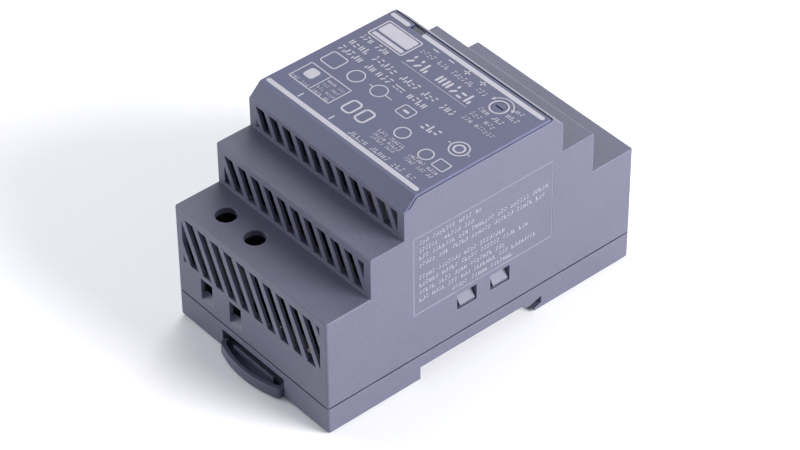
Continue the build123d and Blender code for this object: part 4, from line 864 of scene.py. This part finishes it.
class SUPPLY_OT_windings(bpy.types.Operator):
    """Wind the line choke and the output choke."""
    bl_idname = "supply.windings"
    bl_label = "Choke windings"

    def execute(self, context):
        wire = context.scene.supply_wiring
        copper = frame["nodes"]["line_choke_windings"].data.materials[0]
        low, high = corners_mm("line_choke_core")
        centre_z = (low[2] + high[2]) / 2
        coils = joined([choke_coil(side, wire.choke_wire, centre_z) for side in (1, -1)])
        piece = put_piece("line_choke_wire", coils, copper, smooth=True)
        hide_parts("line_choke_windings")
        coil = output_coil(wire.output_wire)
        piece = put_piece("output_choke_wire", coil, copper, smooth=True)
        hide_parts("output_choke_winding")
        return {"FINISHED"}


CAMERA_TARGET = (2.70, -4.12, 19.30)
FLOOR_HALF = 3.0           # metres from the middle to an edge
FLOOR_GAP = 0.2            # millimetres of air under the base
LIGHTS = (     # name, azimuth, elevation, distance m, size m, watts
    ("side_key", 115.0, 22.0, 1.1, 0.7, 22.0),
    ("back_sheet", 225.0, 52.0, 1.2, 0.9, 4.0),
    ("rim_sheet", 214.0, 14.0, 1.2, 0.8, 5.0),
    ("front_fill", -62.0, 13.0, 1.2, 0.8, 13.0),
)


def ray(azimuth, elevation):
    """Unit vector towards an azimuth from the front and an elevation, both in radians."""
    return Vector((sin(azimuth) * cos(elevation), -cos(azimuth) * cos(elevation),
                   sin(elevation)))


class SUPPLY_OT_stage(bpy.types.Operator):
    """Set the pale floor, the soft lights and the camera."""
    bl_idname = "supply.stage"
    bl_label = "Stage"

    def execute(self, context):
        look = context.scene.supply_stage
        centre = Vector(CAMERA_TARGET) * MM
        mesh = bpy.data.meshes.new("studio_floor")
        level = (UNDERSIDE - FLOOR_GAP) * MM
        corners = [(across * FLOOR_HALF, over * FLOOR_HALF, level)
                   for across, over in ((-1, -1), (1, -1), (1, 1), (-1, 1))]
        mesh.from_pydata(corners, [], [(0, 1, 2, 3)])
        floor = bpy.data.objects.new("studio_floor", mesh)
        context.scene.collection.objects.link(floor)
        mesh.materials.append(finish("matt_paper_floor", tuple(look.floor_colour), grain=1.5,
                                     deep=0.004, rough=(0.75, 0.85), mottle=0.004, patch=60.0,
                                     specular=0.2))
        world = bpy.data.worlds.new("studio_room")
        context.scene.world = world
        world.use_nodes = True
        background = world.node_tree.nodes["Background"]
        background.inputs["Color"].default_value = rgba(look.world_colour)
        background.inputs["Strength"].default_value = look.world_light
        for name, azimuth, elevation, distance, size, watts in LIGHTS:
            data = bpy.data.lights.new(name, "AREA")
            data.energy = watts
            data.shape = "DISK"
            data.size = size
            lamp = bpy.data.objects.new(name, data)
            context.scene.collection.objects.link(lamp)
            towards = ray(radians(azimuth), radians(elevation))
            lamp.location = centre + towards * distance
            lamp.rotation_euler = towards.to_track_quat("Z", "Y").to_euler()
        data = bpy.data.cameras.new("studio_camera")
        data.lens = look.camera_lens
        data.sensor_width = 36.0
        data.clip_start = 0.01
        camera = bpy.data.objects.new("studio_camera", data)
        context.scene.collection.objects.link(camera)
        back = ray(look.camera_azimuth, look.camera_elevation)
        level_right = Vector((cos(look.camera_azimuth), sin(look.camera_azimuth), 0.0))
        right = Matrix.Rotation(look.camera_roll, 3, back) @ level_right
        over = back.cross(right)
        turn = Matrix((right, over, back)).transposed()
        place = Matrix.Translation(centre + back * look.camera_distance)
        camera.matrix_world = place @ turn.to_4x4()
        context.scene.camera = camera
        context.scene.view_settings.view_transform = "Standard"
        return {"FINISHED"}


class SUPPLY_PT_panel(bpy.types.Panel):
    """Lists the settings and the steps of the power supply's looks."""
    bl_idname = "SUPPLY_PT_panel"
    bl_label = "Power Supply"
    bl_space_type = "VIEW_3D"
    bl_region_type = "UI"
    bl_category = "Power Supply"

    def draw(self, context):
        scene = context.scene
        for group in ("supply_casing", "supply_print", "supply_wiring", "supply_stage"):
            settings = getattr(scene, group)
            box = self.layout.box()
            for name in settings.bl_rna.properties.keys():
                if name not in ("rna_type", "name"):
                    box.prop(settings, name)
        for operator in OPERATORS:
            self.layout.operator(operator.bl_idname)


OPERATORS = (SUPPLY_OT_casing, SUPPLY_OT_inner, SUPPLY_OT_panel_printing,
             SUPPLY_OT_side_printing, SUPPLY_OT_spring, SUPPLY_OT_windings, SUPPLY_OT_stage)
SETTINGS = {"supply_casing": CasingSettings, "supply_print": PrintSettings,
            "supply_wiring": WiringSettings, "supply_stage": StageSettings}


def register():
    for group in SETTINGS.values():
        bpy.utils.register_class(group)
    for name, group in SETTINGS.items():
        setattr(bpy.types.Scene, name, PointerProperty(type=group))
    for kind in OPERATORS + (SUPPLY_PT_panel,):
        bpy.utils.register_class(kind)


def unregister():
    for kind in reversed(OPERATORS + (SUPPLY_PT_panel,)):
        bpy.utils.unregister_class(kind)
    for name in SETTINGS:
        delattr(bpy.types.Scene, name)
    for group in reversed(SETTINGS.values()):
        bpy.utils.unregister_class(group)


def main():
    register()
    for operator in OPERATORS:
        getattr(bpy.ops.supply, operator.bl_idname.split(".")[1])()


if __name__ == "__main__":
    main()
